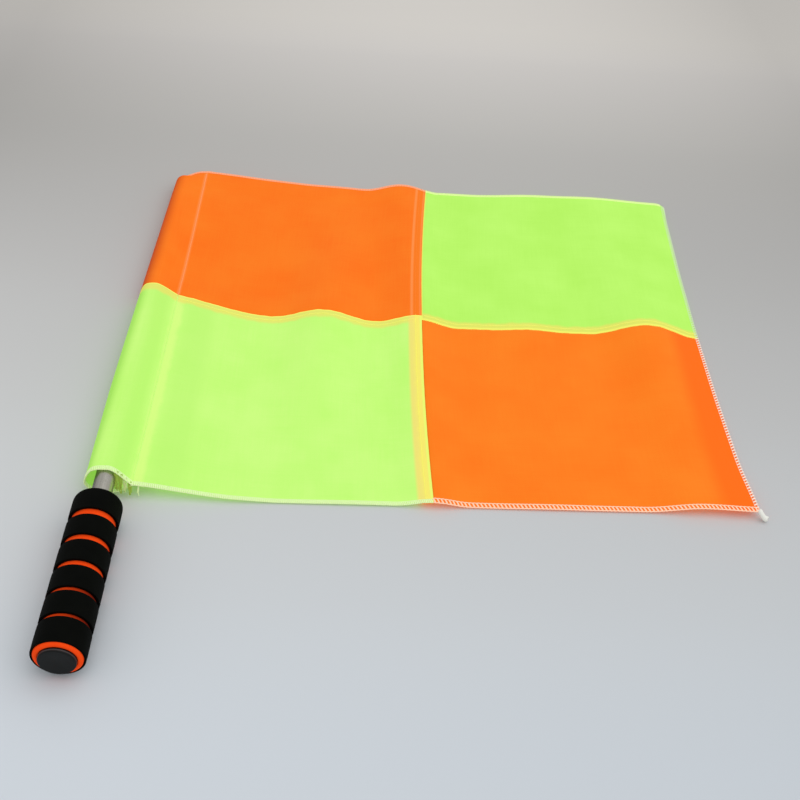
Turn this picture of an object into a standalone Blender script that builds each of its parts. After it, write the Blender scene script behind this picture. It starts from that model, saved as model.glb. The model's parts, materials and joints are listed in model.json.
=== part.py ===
"""A linesman flag lying on a table: a foam grip on a thin steel tube, and a quartered cloth.

The pole lies along +Y with its butt nearest the front, and the cloth spreads towards +X.
The pole rests on the shoulder of its grip and on its tip, so it falls a little towards the tip.
The cloth is drawn over the pole by an open sleeve, turns round it, and folds at its centre seam.
Lengths are in metres, +Z is up, and the floor is z = 0.
"""
import math

import bmesh
import bpy
from mathutils import Vector

# Room left between pieces that touch
GAP = 0.0003

# Grip: a foam core under a foam skin that five turned grooves cut into six bands
GRIP_RADIUS = 0.015
CORE_RADIUS = 0.0136
GROOVE_FLOOR = 0.013
FLOOR_FROM = 0.0123
CORE_RING = 0.0108
CORE_BULGE = 0.0013
END_BAND_LENGTH = 0.0163
BAND_LENGTH = 0.015
GROOVE_WIDTHS = (0.0028, 0.0030, 0.0041, 0.0045, 0.0053)
BAND_EDGE = 0.0005
BUTT_EDGE = 0.0008
SHOULDER_EDGE = 0.0028

# Pole: a thin steel tube with a plug at each end
TUBE_RADIUS = 0.00635
TUBE_WALL = 0.0006
TUBE_INSET = 0.0005
TUBE_LENGTH = 0.4865
PLUG_HEAD_RADIUS = 0.0104
PLUG_PROUD = 0.0035
PLUG_EDGE = 0.0009
PLUG_STEM = 0.016
CAP_HEAD = 0.0032
CAP_STEM = 0.013
RIB_DEPTH = 0.0004
RIB_PITCH = 0.0035
RIB_HALF = 0.0009
RIB_FIRST = 0.003
STEM_TAPER = 0.001
CAP_RIM = 0.0008
STEM_CLEARANCE = 0.0003

# Cloth: four panels, cut wider than they are high, with a sleeve folded along the hoist
CLOTH = 0.0006
SLEEVE_REST = 0.0002
SLEEVE_LOOSE = 0.001
SLEEVE_FOLD = 0.0137
SLEEVE_FOLD_TIP = 0.0082
SLEEVE_END_LEFT = -0.005
SLEEVE_END_LOW = 0.0072
SLEEVE_END_CORNER = 0.0075
SLEEVE_SAG = 0.0011
HEM_WIDTH = 0.008
STITCH_X_NEAR = 0.0155
STITCH_X_FAR = 0.0185
STITCH_Z_NEAR = 0.0078
STITCH_Z_FAR = 0.0056
STITCH_RISE_FAR = 0.0047
SKIRT_END = 0.104
SKIRT_LONGER_FAR = 0.046
BARE_TUBE = 0.0162
SLEEVE_PAST_TIP = 0.0133
NEAR_SLOPE = 0.026
NEAR_FULLER = 0.0014
FULL_WITHIN = 0.06
FULL_UNTIL = 0.385
FULL_FADE = 0.03
FAR_SLOPE = 0.017
FLY_X = 0.419
FLY_WAIST = 0.0044
FLY_SPREAD = 0.003
CENTRE_SHARE = 0.4714
CENTRE_BOW = 0.0039
MID_SHARE_HOIST = 0.503
MID_SHARE_FLY = 0.491
ALLOWANCE = 0.007
ALLOWANCE_SHORT = 0.0015
SEAM_CUT = 0.0003
SEAM_STEP = 0.0009
LIFT = 0.0009
LIFT_WIDTH = 0.008
LIFT_REACH = 0.022
SLEEVE_DRIFT_NEAR = 0.006
SLEEVE_DRIFT_MID = 0.0165
DRIFT_REACH = 0.085
FLY_CORNER = 0.0085
CORNER_CURL = 0.004
CURL_FROM = 0.385
CURL_REACH = 0.035
CURL_END = 0.15

# Folds that run from the near edge to the far edge: x, height and half width at near, middle, far
FOLDS = (
    ((0.118, 0.127, 0.135), (0.0, 0.009, 0.001), (0.03, 0.04, 0.035), 0.42),
    ((0.206, 0.199, 0.188), (0.0034, 0.0074, 0.0068), (0.025, 0.032, 0.033), 0.5),
    ((0.290, 0.285, 0.290), (0.0, 0.0021, 0.0013), (0.03, 0.03, 0.045), 0.2),
    ((0.383, 0.374, 0.350), (0.0045, 0.0108, 0.0035), (0.04, 0.045, 0.085), 0.45),
)
FOLD_END = 0.4

# Sewing thread: an overlock round every cut edge, and rows of stitches along the seams
OVERLOCK_RADIUS = 0.0007
THREAD_RADIUS = 0.00025
SLEEVE_END_ROW = 0.004
SEAM_ROW = 0.0045
TAIL_LENGTH = 0.008
TAIL_RADIUS = 0.0012
TAIL_TURN = math.radians(-40)

# How finely round and soft pieces are divided
ROUND_STEPS = 32
MAIN_COLUMNS_HOIST = 12
MAIN_COLUMNS_FLY = 15
PANEL_ROWS = 12
SLEEVE_STEPS = 2
LAPPED_COLUMNS = 3

# Sizes that follow from those above
GRIP_LENGTH = 2 * END_BAND_LENGTH + (len(GROOVE_WIDTHS) - 1) * BAND_LENGTH + sum(GROOVE_WIDTHS)
TUBE_BORE = TUBE_RADIUS - TUBE_WALL
TUBE_END = TUBE_INSET + TUBE_LENGTH
TIP = TUBE_END + GAP + CAP_HEAD
SLEEVE_RADIUS = TUBE_RADIUS + SLEEVE_LOOSE + CLOTH / 2
LAP = CLOTH + GAP
MOUTH_Y = GRIP_LENGTH + BARE_TUBE
HOIST_HEIGHT = TIP + SLEEVE_PAST_TIP - MOUTH_Y
REST_AT = GRIP_LENGTH - SHOULDER_EDGE
TUBE_END_HEIGHT = SLEEVE_REST + CLOTH + GAP + TUBE_RADIUS
FALL = (GRIP_RADIUS - TUBE_END_HEIGHT) / (TUBE_END - REST_AT)
TILT = math.asin(FALL)
PAST_TIP = (TIP + GAP - MOUTH_Y) / HOIST_HEIGHT
END_ROW = 1.0 - SLEEVE_END_ROW / HOIST_HEIGHT
POLE_HEIGHT = GRIP_RADIUS + REST_AT * FALL

BLACK_FOAM = ("black_foam", (0.012, 0.012, 0.012, 1), 0.85, 0.0)
ORANGE_FOAM = ("orange_foam", (0.95, 0.07, 0.01, 1), 0.8, 0.0)
STEEL = ("steel", (0.42, 0.40, 0.37, 1), 0.22, 1.0)
BLACK_PLASTIC = ("black_plastic", (0.016, 0.017, 0.018, 1), 0.4, 0.0)
ORANGE_CLOTH = ("orange_cloth", (1.0, 0.22, 0.015, 1), 0.6, 0.0)
LIME_CLOTH = ("lime_cloth", (0.54, 1.0, 0.19, 1), 0.6, 0.0)
THREAD = ("thread", (0.80, 0.82, 0.72, 1), 0.7, 0.0)


def clear_scene():
    for old in list(bpy.data.objects):
        bpy.data.objects.remove(old)


def finish(obj, collection, look):
    """Names the object's material and puts the object in its collection."""
    name, colour, roughness, metallic = look
    material = bpy.data.materials.get(name)
    if material is None:
        material = bpy.data.materials.new(name)
        material.use_nodes = True
        shader = material.node_tree.nodes["Principled BSDF"]
        shader.inputs["Base Color"].default_value = colour
        shader.inputs["Roughness"].default_value = roughness
        shader.inputs["Metallic"].default_value = metallic
    obj.data.materials.append(material)
    collection.objects.link(obj)
    return obj


def turned(name, profile, closed, pole, collection, look, steps=ROUND_STEPS):
    """A piece turned about the pole: profile points are (radius, place along the pole)."""
    mesh = bpy.data.meshes.new(name)
    points = [(radius, 0.0, along) for radius, along in profile]
    links = [(i, i + 1) for i in range(len(points) - 1)]
    if closed:
        links.append((len(points) - 1, 0))
    mesh.from_pydata(points, links, [])
    obj = bpy.data.objects.new(name, mesh)
    screw = obj.modifiers.new("turn", "SCREW")
    screw.axis = "Z"
    screw.steps = steps
    screw.render_steps = steps
    screw.use_merge_vertices = True
    screw.merge_threshold = 0.00001
    screw.use_smooth_shade = True
    obj.rotation_euler = (-math.pi / 2, 0, 0)
    obj.parent = pole
    return finish(obj, collection, look)


def arc(radius_at, along_at, radius, start, end, count=3):
    """Points of a rounded corner, in degrees from the outward direction towards the tip."""
    turn = [start + (end - start) * i / count for i in range(count + 1)]
    return [
        (
            radius_at + radius * math.cos(math.radians(a)),
            along_at + radius * math.sin(math.radians(a)),
        )
        for a in turn
    ]


def grip(pole, collection):
    """The foam core with its bore, and the six bands of skin glued round it."""
    bore = TUBE_RADIUS + GAP
    step = CORE_RADIUS - GROOVE_FLOOR
    core = [
        (GROOVE_FLOOR, GRIP_LENGTH),
        (GROOVE_FLOOR, FLOOR_FROM + step),
        (CORE_RADIUS, FLOOR_FROM),
        (CORE_RADIUS, 0.0),
        (mix(CORE_RING, CORE_RADIUS, 0.8), -CORE_BULGE * 0.7),
        (mix(CORE_RING, CORE_RADIUS, 0.45), -CORE_BULGE),
        (mix(CORE_RING, CORE_RADIUS, 0.1), -CORE_BULGE * 0.7),
        (CORE_RING, 0.0),
        (bore, 0.0),
        (bore, GRIP_LENGTH),
    ]
    turned("grip_core", core, True, pole, collection, ORANGE_FOAM)
    last = len(GROOVE_WIDTHS)
    skin = GRIP_RADIUS - CORE_RADIUS - GAP
    start = 0.0
    for number in range(last + 1):
        length = END_BAND_LENGTH if number in (0, last) else BAND_LENGTH
        near = min(BUTT_EDGE, 0.8 * skin) if number == 0 else BAND_EDGE
        far = SHOULDER_EDGE if number == last else BAND_EDGE
        low, high = start, start + length
        deep = min(far, 0.8 * skin)
        inner = (CORE_RADIUS if number == 0 else GROOVE_FLOOR) + GAP
        profile = [(GROOVE_FLOOR + GAP, high), (GRIP_RADIUS - deep, high)]
        if number == last:
            profile.append((GRIP_RADIUS - deep * 0.35, high - far * 0.38))
        profile += [(GRIP_RADIUS, high - far), (GRIP_RADIUS, low + near)]
        profile += [(GRIP_RADIUS - near, low), (inner, low)]
        if number == 0:
            profile += [(inner, FLOOR_FROM + GAP), (GROOVE_FLOOR + GAP, FLOOR_FROM + step + GAP)]
        turned(f"grip_band_{number + 1}", profile, True, pole, collection, BLACK_FOAM)
        if number < last:
            start = high + GROOVE_WIDTHS[number]


def ribbed_stem(radius, root, length):
    """The outline of a stem that grips a bore with round ribs, from its free end to its root."""
    end = root + length
    side = 1 if length > 0 else -1
    points = [(0.0, end), (radius * 0.8, end), (radius, end - side * STEM_TAPER)]
    ribs = int((abs(length) - RIB_FIRST - STEM_TAPER) / RIB_PITCH)
    for i in range(ribs):
        middle = root + side * (RIB_FIRST + (ribs - 1 - i) * RIB_PITCH)
        points += [
            (radius - RIB_DEPTH, middle + side * RIB_HALF),
            (radius, middle),
            (radius - RIB_DEPTH, middle - side * RIB_HALF),
        ]
    return points + [(radius - RIB_DEPTH, root)]


def pole_pieces(pole, collection):
    """The steel tube, the plug that closes its butt, and the cap in its tip."""
    tube = [
        (TUBE_RADIUS, TUBE_END),
        (TUBE_RADIUS, TUBE_INSET),
        (TUBE_BORE, TUBE_INSET),
        (TUBE_BORE, TUBE_END),
    ]
    turned("pole_tube", tube, True, pole, collection, STEEL)
    stem = TUBE_BORE - STEM_CLEARANCE
    face = -PLUG_PROUD
    plug = ribbed_stem(stem, -GAP, PLUG_STEM)
    plug += [(PLUG_HEAD_RADIUS, -GAP), (PLUG_HEAD_RADIUS, face + PLUG_EDGE)]
    plug += arc(PLUG_HEAD_RADIUS - PLUG_EDGE, face + PLUG_EDGE, PLUG_EDGE, -30, -90, 2)
    plug.append((0.0, face))
    turned("butt_plug", plug, False, pole, collection, BLACK_PLASTIC)
    root = TUBE_END + GAP
    dome = TUBE_RADIUS
    cap = [(0.0, root + CAP_HEAD)]
    for share in (0.35, 0.62, 0.83, 0.96, 1.0):
        height = CAP_HEAD * math.sqrt(1 - share**2) if share < 1 else CAP_RIM
        cap.append((dome * share, root + height))
    cap.append((dome, root))
    cap += reversed(ribbed_stem(stem, root, -CAP_STEM))
    turned("tip_cap", cap, False, pole, collection, BLACK_PLASTIC, steps=24)


def smooth(share):
    share = min(max(share, 0.0), 1.0)
    return share * share * (3 - 2 * share)


def mix(low, high, share):
    return low + (high - low) * share


def three(values, t):
    """A curve in t that passes through its values at the near edge, the middle and the far edge."""
    near, middle, far = values
    return near * (2 * t - 1) * (t - 1) + middle * 4 * t * (1 - t) + far * t * (2 * t - 1)


def bump(offset, width):
    return math.cos(math.pi / 2 * offset / width) ** 2 if abs(offset) < width else 0.0


def stitch_x(t):
    return mix(STITCH_X_NEAR, STITCH_X_FAR, t)


def near_tip(t):
    return smooth((t - 0.6) / 0.4)


def stitch_z(t):
    return mix(STITCH_Z_NEAR, STITCH_Z_FAR, t) + STITCH_RISE_FAR * near_tip(t)


def fly_x(t):
    return FLY_X + FLY_SPREAD * t - FLY_WAIST * 4 * t * (1 - t)


def near_y(x):
    full = smooth(x / FULL_WITHIN) * (1 - smooth((x - FULL_UNTIL) / FULL_FADE))
    return MOUTH_Y + NEAR_SLOPE * max(x, 0.0) + NEAR_FULLER * full


def far_y(x):
    return MOUTH_Y + HOIST_HEIGHT + FAR_SLOPE * max(x, 0.0)


def drift(x, t):
    """How far the sleeve's cloth has crept along the pole, fading out across the hoist panels."""
    along = three((SLEEVE_DRIFT_NEAR, SLEEVE_DRIFT_MID, 0.0), t)
    return max(along, 0.0) * (1 - smooth(max(x, 0.0) / DRIFT_REACH))


def cloth_x(a, t):
    """x of the cloth at share a from the sleeve's stitches to the fly, bowed at the centre seam."""
    bow = CENTRE_BOW * 4 * t * (1 - t) * bump(a - CENTRE_SHARE, CENTRE_SHARE)
    return mix(stitch_x(t), fly_x(t), a) - bow


def lift(from_edge):
    """How far the layers turned under a seam, or an overlocked edge, hold the cloth up."""
    return LIFT * (1 - smooth((from_edge - LIFT_WIDTH) / LIFT_REACH))


def height(x, t, from_edge):
    """Height of the cloth's middle: its folds, the slope from the sleeve, and a lift at edges."""
    skirt_end = SKIRT_END + SKIRT_LONGER_FAR * near_tip(t)
    share = (skirt_end - x) / (skirt_end - stitch_x(t))
    z = CLOTH / 2 + mix(0.6, 1.0, smooth(share)) * stitch_z(t) * max(0.0, share)
    for places, heights, widths, span in FOLDS:
        near, middle, far = heights
        size = near * (1 - smooth(t / FOLD_END)) + middle * bump(t - 0.5, span)
        size += far * smooth((t - 1 + FOLD_END) / FOLD_END)
        z += size * bump(x - three(places, t), three(widths, t))
    z += CORNER_CURL * smooth((x - CURL_FROM) / CURL_REACH) * (1 - smooth(t / CURL_END))
    return z + lift(from_edge)


def point_at(a, t, mid_share, drop=0.0):
    """A point of the cloth's middle surface; a runs to the fly and t to the far edge."""
    x = cloth_x(a, t)
    y = mix(near_y(cloth_x(a, 0.0)), far_y(cloth_x(a, 1.0)), t) + drift(x, t)
    width = FLY_X - STITCH_X_NEAR
    into_corner = min(max(0.0, 1 - (1 - a) * width / FLY_CORNER), 1.0)
    y -= FLY_CORNER * 0.8 * (1 - math.sqrt(1 - into_corner**2)) * smooth((t - 0.9) / 0.1)
    edges = (
        (1 - a) * width,
        abs(a - CENTRE_SHARE) * width,
        t * HOIST_HEIGHT,
        (1 - t) * HOIST_HEIGHT,
        abs(t - mid_share) * HOIST_HEIGHT,
    )
    return Vector((x, y, height(x, t, min(edges)) - drop))


def through(points, spans):
    """Points on a smooth curve through the given ones, with so many spans between each pair."""
    ends = [2 * points[0] - points[1], *points, 2 * points[-1] - points[-2]]
    out = []
    for i in range(len(points) - 1):
        a, b, c, d = ends[i : i + 4]
        for k in range(spans):
            u = k / spans
            out.append(
                0.5 * (2 * b + (c - a) * u + (2 * a - 5 * b + 4 * c - d) * u * u)
                + 0.5 * (3 * b - a - 3 * c + d) * u**3
            )
    return [*out, points[-1]]


def axis_height(y):
    return POLE_HEIGHT - y * math.tan(TILT)


def sleeve(t):
    """The sleeve's loop at one height of the hoist: from its hem, under and over the pole. Past
    the tip its two layers near each other, and its left corner draws back towards the butt."""
    seam = point_at(0.0, t, MID_SHARE_HOIST)
    width = FLY_X - STITCH_X_NEAR
    hem = point_at(HEM_WIDTH / width, t, MID_SHARE_HOIST, LAP)
    closing = smooth((t - PAST_TIP) / (END_ROW - PAST_TIP))
    axis = axis_height(min(seam.y, TIP))
    tighter = min(max((t - 0.2) / 0.75, 0.0), 1.0) ** 1.15
    fold = mix(SLEEVE_FOLD, SLEEVE_FOLD_TIP, tighter)
    floor = SLEEVE_REST + CLOTH / 2 + lift(t * HOIST_HEIGHT)
    left = mix(-fold, SLEEVE_END_LEFT, closing)

    def spot(x, z, share, side):
        """A point that nears its place, share from left to seam, in the flattened end."""
        shut = mix(SLEEVE_END_LOW, seam.z - LAP / 2, smooth(share)) + side * LAP / 2
        return mix(x, mix(left, seam.x, share), closing), mix(z, shut, closing)

    loop = (
        (seam.x, seam.z - LAP),
        spot(seam.x * 0.55, mix(floor, seam.z - LAP, 0.3), 0.7, -1),
        spot(0.0, floor, 0.4, -1),
        spot(left * 0.62, floor + SLEEVE_SAG, 0.15, -1),
        (left, mix(axis * 0.62, SLEEVE_END_LOW, closing)),
        spot(left * 0.64, axis + SLEEVE_RADIUS * 0.7, 0.15, 1),
        spot(0.0, axis + SLEEVE_RADIUS, 0.4, 1),
        spot(SLEEVE_RADIUS * 0.78, axis + SLEEVE_RADIUS * 0.74, 0.7, 1),
        (seam.x, seam.z),
    )
    points = [hem]
    for x, z in loop:
        corner = min(max((0.013 - x) / 0.018, 0.0), 1.0) ** 1.6
        back = SLEEVE_END_CORNER * corner * smooth((t - 0.9) / 0.1)
        points.append(Vector((x, seam.y - back, z)))
    return through(points, SLEEVE_STEPS)


def sheet(name, rows, collection, look):
    """A cloth solid from rows of points of its middle surface; a point of None is cut away."""
    across, along = len(rows[0]), len(rows)
    work = bmesh.new()
    bmesh.ops.create_grid(work, x_segments=across - 1, y_segments=along - 1, size=0.5)
    cut = []
    for vertex in work.verts:
        column = round((vertex.co.x + 0.5) * (across - 1))
        row = round((vertex.co.y + 0.5) * (along - 1))
        if rows[row][column] is None:
            cut.append(vertex)
        else:
            vertex.co = rows[row][column]
    bmesh.ops.delete(work, geom=cut, context="VERTS")
    bmesh.ops.triangulate(work, faces=work.faces)
    mesh = bpy.data.meshes.new(name)
    work.to_mesh(mesh)
    work.free()
    mesh.shade_smooth()
    obj = bpy.data.objects.new(name, mesh)
    solid = obj.modifiers.new("cloth", "SOLIDIFY")
    solid.thickness = CLOTH
    solid.offset = 0.0
    return finish(obj, collection, look)


def bead(name, points, radius, collection, look, resolution=1):
    """A thread or an overlocked edge: a tube of the given radius along its points."""
    curve = bpy.data.curves.new(name, "CURVE")
    curve.dimensions = "3D"
    curve.bevel_depth = radius
    curve.bevel_resolution = resolution
    curve.use_fill_caps = True
    spline = curve.splines.new("POLY")
    spline.points.add(len(points) - 1)
    for target, place in zip(spline.points, points):
        target.co = (*place, 1.0)
    return finish(bpy.data.objects.new(name, curve), collection, look)


def even(low, high, count):
    return [mix(low, high, i / count) for i in range(count + 1)]


def cloth_stations():
    """Shares of the width and of the height at which the cloth's grids have their lines."""
    width = FLY_X - STITCH_X_NEAR
    row = SEAM_ROW / width
    high = SEAM_ROW / HOIST_HEIGHT
    cut = SEAM_CUT / HOIST_HEIGHT
    step = SEAM_STEP / HOIST_HEIGHT
    turned_under = ALLOWANCE / HOIST_HEIGHT
    centre, mid, mid_fly = CENTRE_SHARE, MID_SHARE_HOIST, MID_SHARE_FLY
    corner = FLY_CORNER / width
    lapped = [centre - ALLOWANCE / width, centre - row]
    hoist = even(0.0, lapped[0] - ALLOWANCE_SHORT / width, MAIN_COLUMNS_HOIST)[1:]
    hoist += lapped + [centre - SEAM_CUT / width]
    fly = lapped + [centre, centre + SEAM_STEP / width]
    fly += even(centre + SEAM_STEP / width, 1 - corner, MAIN_COLUMNS_FLY)[1:]
    fly += [1 - corner * 0.3, 1.0]
    return {
        "hoist": hoist,
        "fly": fly,
        "near_hoist": even(0.0, mid - high, PANEL_ROWS) + [mid - cut],
        "far_hoist": [mid - turned_under, mid, mid + step]
        + even(mid + step, PAST_TIP, PANEL_ROWS - 2)[1:]
        + even(PAST_TIP, END_ROW, 3)[1:]
        + [1.0],
        "near_fly": even(0.0, mid_fly - step, PANEL_ROWS) + [mid_fly, mid_fly + turned_under],
        "far_fly": [mid_fly + cut] + even(mid_fly + high, 1.0, PANEL_ROWS),
    }


def hoist_rows(stations, rows, orange):
    """Rows of a hoist panel, sleeve and all; the orange one is turned under the lime one."""
    out = []
    mid = MID_SHARE_HOIST
    for t in rows:
        under = orange and t <= mid
        line = [None] * (9 * SLEEVE_STEPS + 1) if orange and t < mid else sleeve(t)
        for i, a in enumerate(stations):
            near_centre = i >= len(stations) - LAPPED_COLUMNS
            if orange and t < mid and near_centre:
                line.append(None)
            else:
                drop = LAP if under and not near_centre else 0.0
                line.append(point_at(a, t, mid, drop))
        out.append(line)
    return out


def fly_rows(stations, rows, orange):
    """Rows of a fly panel, whose edge at the centre seam is turned under the hoist panels."""
    out = []
    mid = MID_SHARE_FLY
    for t in rows:
        line = []
        for i, a in enumerate(stations):
            near_centre = i <= LAPPED_COLUMNS
            if orange and t > mid and near_centre:
                line.append(None)
            else:
                under = a <= CENTRE_SHARE or (orange and t >= mid and not near_centre)
                line.append(point_at(a, t, mid, LAP if under else 0.0))
        out.append(line)
    return out


def cloth(collection):
    """The four panels, their overlocked edges and their rows of stitches, by the half they are in."""
    lines = cloth_stations()
    far_hoist = hoist_rows(lines["hoist"], lines["far_hoist"], True)
    near_hoist = hoist_rows(lines["hoist"], lines["near_hoist"], False)
    far_fly = fly_rows(lines["fly"], lines["far_fly"], False)
    near_fly = fly_rows(lines["fly"], lines["near_fly"], True)
    loop = 9 * SLEEVE_STEPS
    out = Vector((0, GAP + OVERLOCK_RADIUS, 0))
    above = Vector((0, 0, CLOTH / 2 + GAP + THREAD_RADIUS))
    hoist = [
        sheet("panel_far_hoist", far_hoist, collection, ORANGE_CLOTH),
        sheet("panel_near_hoist", near_hoist, collection, LIME_CLOTH),
    ]
    fly = [
        sheet("panel_far_fly", far_fly, collection, LIME_CLOTH),
        sheet("panel_near_fly", near_fly, collection, ORANGE_CLOTH),
    ]
    mouth = near_hoist[0]
    edge = [point - out for point in mouth[3:]]
    hoist.append(bead("overlock_near_hoist", edge, OVERLOCK_RADIUS, collection, THREAD))
    last = far_hoist[-1]
    edge = [point + out for point in last[loop - 4 :]]
    hoist.append(bead("overlock_far_hoist", edge, OVERLOCK_RADIUS, collection, THREAD))
    edge = [point - out for point in near_fly[0][LAPPED_COLUMNS:]]
    fly.append(bead("overlock_near_fly", edge, OVERLOCK_RADIUS, collection, THREAD))
    side = Vector((GAP + OVERLOCK_RADIUS, 0, 0))
    edge = [point + out for point in far_fly[-1][LAPPED_COLUMNS:-3]]
    fly.append(bead("overlock_far_fly", edge, OVERLOCK_RADIUS, collection, THREAD))
    edge = [line[-1] + side for line in near_fly[:-2] + far_fly]
    edge[0] = edge[0] + Vector((0, OVERLOCK_RADIUS, 0))
    corner = [point + (out + side) * 0.75 for point in far_fly[-1][-1:-4:-1]]
    edge = edge[:-1] + corner
    fly.append(bead("overlock_fly_edge", edge, OVERLOCK_RADIUS, collection, THREAD))
    beside = above + Vector((THREAD_RADIUS * 2, 0, GAP))
    row = [line[loop] + beside for line in near_hoist[:-1] + far_hoist[2:-4]]
    hoist.append(bead("stitch_sleeve", row, THREAD_RADIUS, collection, THREAD, 0))
    row = [line[-2] + above for line in near_hoist + far_hoist[2:]]
    hoist.append(bead("stitch_centre_seam", row, THREAD_RADIUS, collection, THREAD, 0))
    row = [point + above for point in near_hoist[-2][loop + 1 : -LAPPED_COLUMNS]]
    hoist.append(bead("stitch_mid_hoist", row, THREAD_RADIUS, collection, THREAD, 0))
    row = [point + above + out for point in far_hoist[-2][loop - 7 : loop + 1]]
    hoist.append(bead("stitch_sleeve_end", row, THREAD_RADIUS, collection, THREAD, 0))
    row = [point + above for point in far_fly[1][LAPPED_COLUMNS:-1]]
    fly.append(bead("stitch_mid_fly", row, THREAD_RADIUS, collection, THREAD, 0))
    start = near_fly[0][-1] + side - out * 0.4
    way = Vector((math.cos(TAIL_TURN), math.sin(TAIL_TURN), 0))
    sag = start.z - TAIL_RADIUS
    tail = []
    for share in even(0.12, 1.0, 5):
        tail.append(start + way * TAIL_LENGTH * share - Vector((0, 0, sag * smooth(share))))
    fly.append(bead("thread_tail", tail, TAIL_RADIUS, collection, THREAD))
    seam = [line[LAPPED_COLUMNS] for line in near_fly[:-1] + far_fly]
    top = max(point.z for point in seam) + CLOTH / 2 + GAP
    beyond = max(point.x for point in seam) + GAP
    fold = Vector((beyond, MOUTH_Y, top))
    return hoist, fly, fold


def hold(name, place, children, parent, collection):
    """An empty at a joint, which carries the pieces that move on it without shifting them."""
    empty = bpy.data.objects.new(name, None)
    empty.location = place
    collection.objects.link(empty)
    for child in children:
        child.parent = empty
        child.matrix_parent_inverse.translation = -Vector(place)
    empty.parent = parent
    return empty


def footprint(collection):
    """The middle of everything's box as seen from above."""
    bpy.context.view_layer.update()
    graph = bpy.context.evaluated_depsgraph_get()
    points = []
    for obj in collection.objects:
        if obj.type in ("MESH", "CURVE"):
            solid = obj.evaluated_get(graph)
            points += [solid.matrix_world @ v.co for v in solid.to_mesh().vertices]
            solid.to_mesh_clear()
    low = [min(p[i] for p in points) for i in range(2)]
    high = [max(p[i] for p in points) for i in range(2)]
    return Vector(((low[0] + high[0]) / 2, (low[1] + high[1]) / 2, 0.0))


def build():
    clear_scene()
    collection = bpy.data.collections.new("linesman_flag")
    bpy.context.scene.collection.children.link(collection)
    flag = bpy.data.objects.new("flag_frame", None)
    collection.objects.link(flag)
    pole = bpy.data.objects.new("pole_axis", None)
    pole.location = (0, 0, POLE_HEIGHT)
    pole.rotation_euler = (-TILT, 0, 0)
    pole.parent = flag
    collection.objects.link(pole)
    grip(pole, collection)
    pole_pieces(pole, collection)
    hoist, fly, fold = cloth(collection)
    swivel_at = (0, MOUTH_Y, axis_height(MOUTH_Y))
    hold("swivel_axis", swivel_at, hoist, flag, collection)
    hold("fold_axis", fold, fly, flag, collection)
    middle = footprint(collection)
    flag.location = -middle
    axis = Vector((0, math.cos(TILT), -math.sin(TILT)))
    print("pole axis at the butt", Vector((0, 0, POLE_HEIGHT)) - middle, "along", axis)
    print("fold axis", fold - middle, "tip", Vector((0, TIP, axis_height(TIP))) - middle)


build()
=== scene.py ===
"""A linesman flag lying on a pale table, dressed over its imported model.

The sections follow the flag as it is put together: tube, grip, plug, cap, cloth, edges, seams and
tail. Lengths are in metres. The pole runs along +Y from its butt, and the cloth spreads
towards +X.
"""
import json
import math

import bpy
import numpy as np
from mathutils import Matrix, Vector


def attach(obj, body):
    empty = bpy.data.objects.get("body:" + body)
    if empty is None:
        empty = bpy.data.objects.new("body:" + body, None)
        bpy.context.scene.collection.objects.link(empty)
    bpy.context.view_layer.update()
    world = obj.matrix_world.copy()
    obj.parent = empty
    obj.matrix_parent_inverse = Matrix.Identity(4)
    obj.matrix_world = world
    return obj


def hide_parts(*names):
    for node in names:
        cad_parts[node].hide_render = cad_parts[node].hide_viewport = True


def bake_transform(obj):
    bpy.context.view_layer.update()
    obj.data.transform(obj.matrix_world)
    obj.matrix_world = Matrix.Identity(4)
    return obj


# ---------------------------------------------------------------------------------------------
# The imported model: every piece below takes its place from the pole's axis at the butt.
# The butt's mount lies on the plug's face, which stands proud of the grip by PLUG_PROUD.
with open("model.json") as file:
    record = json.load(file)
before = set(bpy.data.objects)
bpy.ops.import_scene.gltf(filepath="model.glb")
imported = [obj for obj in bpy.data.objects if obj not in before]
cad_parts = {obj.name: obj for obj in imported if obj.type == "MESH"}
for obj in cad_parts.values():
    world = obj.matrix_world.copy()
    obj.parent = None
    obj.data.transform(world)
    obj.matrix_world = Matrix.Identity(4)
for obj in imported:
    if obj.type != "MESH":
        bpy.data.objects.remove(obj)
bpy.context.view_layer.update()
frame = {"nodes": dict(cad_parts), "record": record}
PLUG_PROUD = 0.0035
butt_mount = next(m for m in frame["record"]["mounts"] if m["name"] == "butt_face")
pole_way = -np.array(butt_mount["axis"], float)
pole_way /= np.linalg.norm(pole_way)
butt = np.array(butt_mount["pos_m"], float) + pole_way * PLUG_PROUD
on_table = np.array((butt[0], butt[1], 0.0))

# ---------------------------------------------------------------------------------------------
# The table: a smooth painted board that carries the whole flag. On its pale grey paint lies
# painted light, paler towards the front and the back. It is 6 m wide, so that it fills the
# picture.
TABLE_HALF = 3.0
# Painted light: these tones stand in for the light falling off over the table, with a brighter
# pool at the back.
TABLE_TONES = (
    (-0.30, (0.602, 0.648, 0.695, 1)),
    (-0.20, (0.590, 0.620, 0.645, 1)),
    (-0.05, (0.550, 0.560, 0.565, 1)),
    (0.10, (0.495, 0.495, 0.490, 1)),
    (0.25, (0.472, 0.465, 0.452, 1)),
    (0.37, (0.515, 0.503, 0.482, 1)),
    (0.52, (0.624, 0.602, 0.577, 1)),
    (0.60, (0.677, 0.651, 0.612, 1)),
)
TABLE_SLANT = 0.33
TABLE_BOW = 1.35
TABLE_SIDE = 0.4
TABLE_BACK = (0.05, 0.45)


def put(tree, socket, value):
    """Sets an input: an output is linked to it, and anything else is its value."""
    if isinstance(value, bpy.types.NodeSocket):
        tree.links.new(value, socket)
    else:
        socket.default_value = value


def linked(tree, kind, **values):
    """A new shader node. Each value sets the property or the input of that name."""
    node = tree.nodes.new(kind)
    for name, value in values.items():
        if name in node.bl_rna.properties:
            setattr(node, name, value)
        else:
            put(tree, node.inputs[name.replace("_", " ")], value)
    return node


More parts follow.
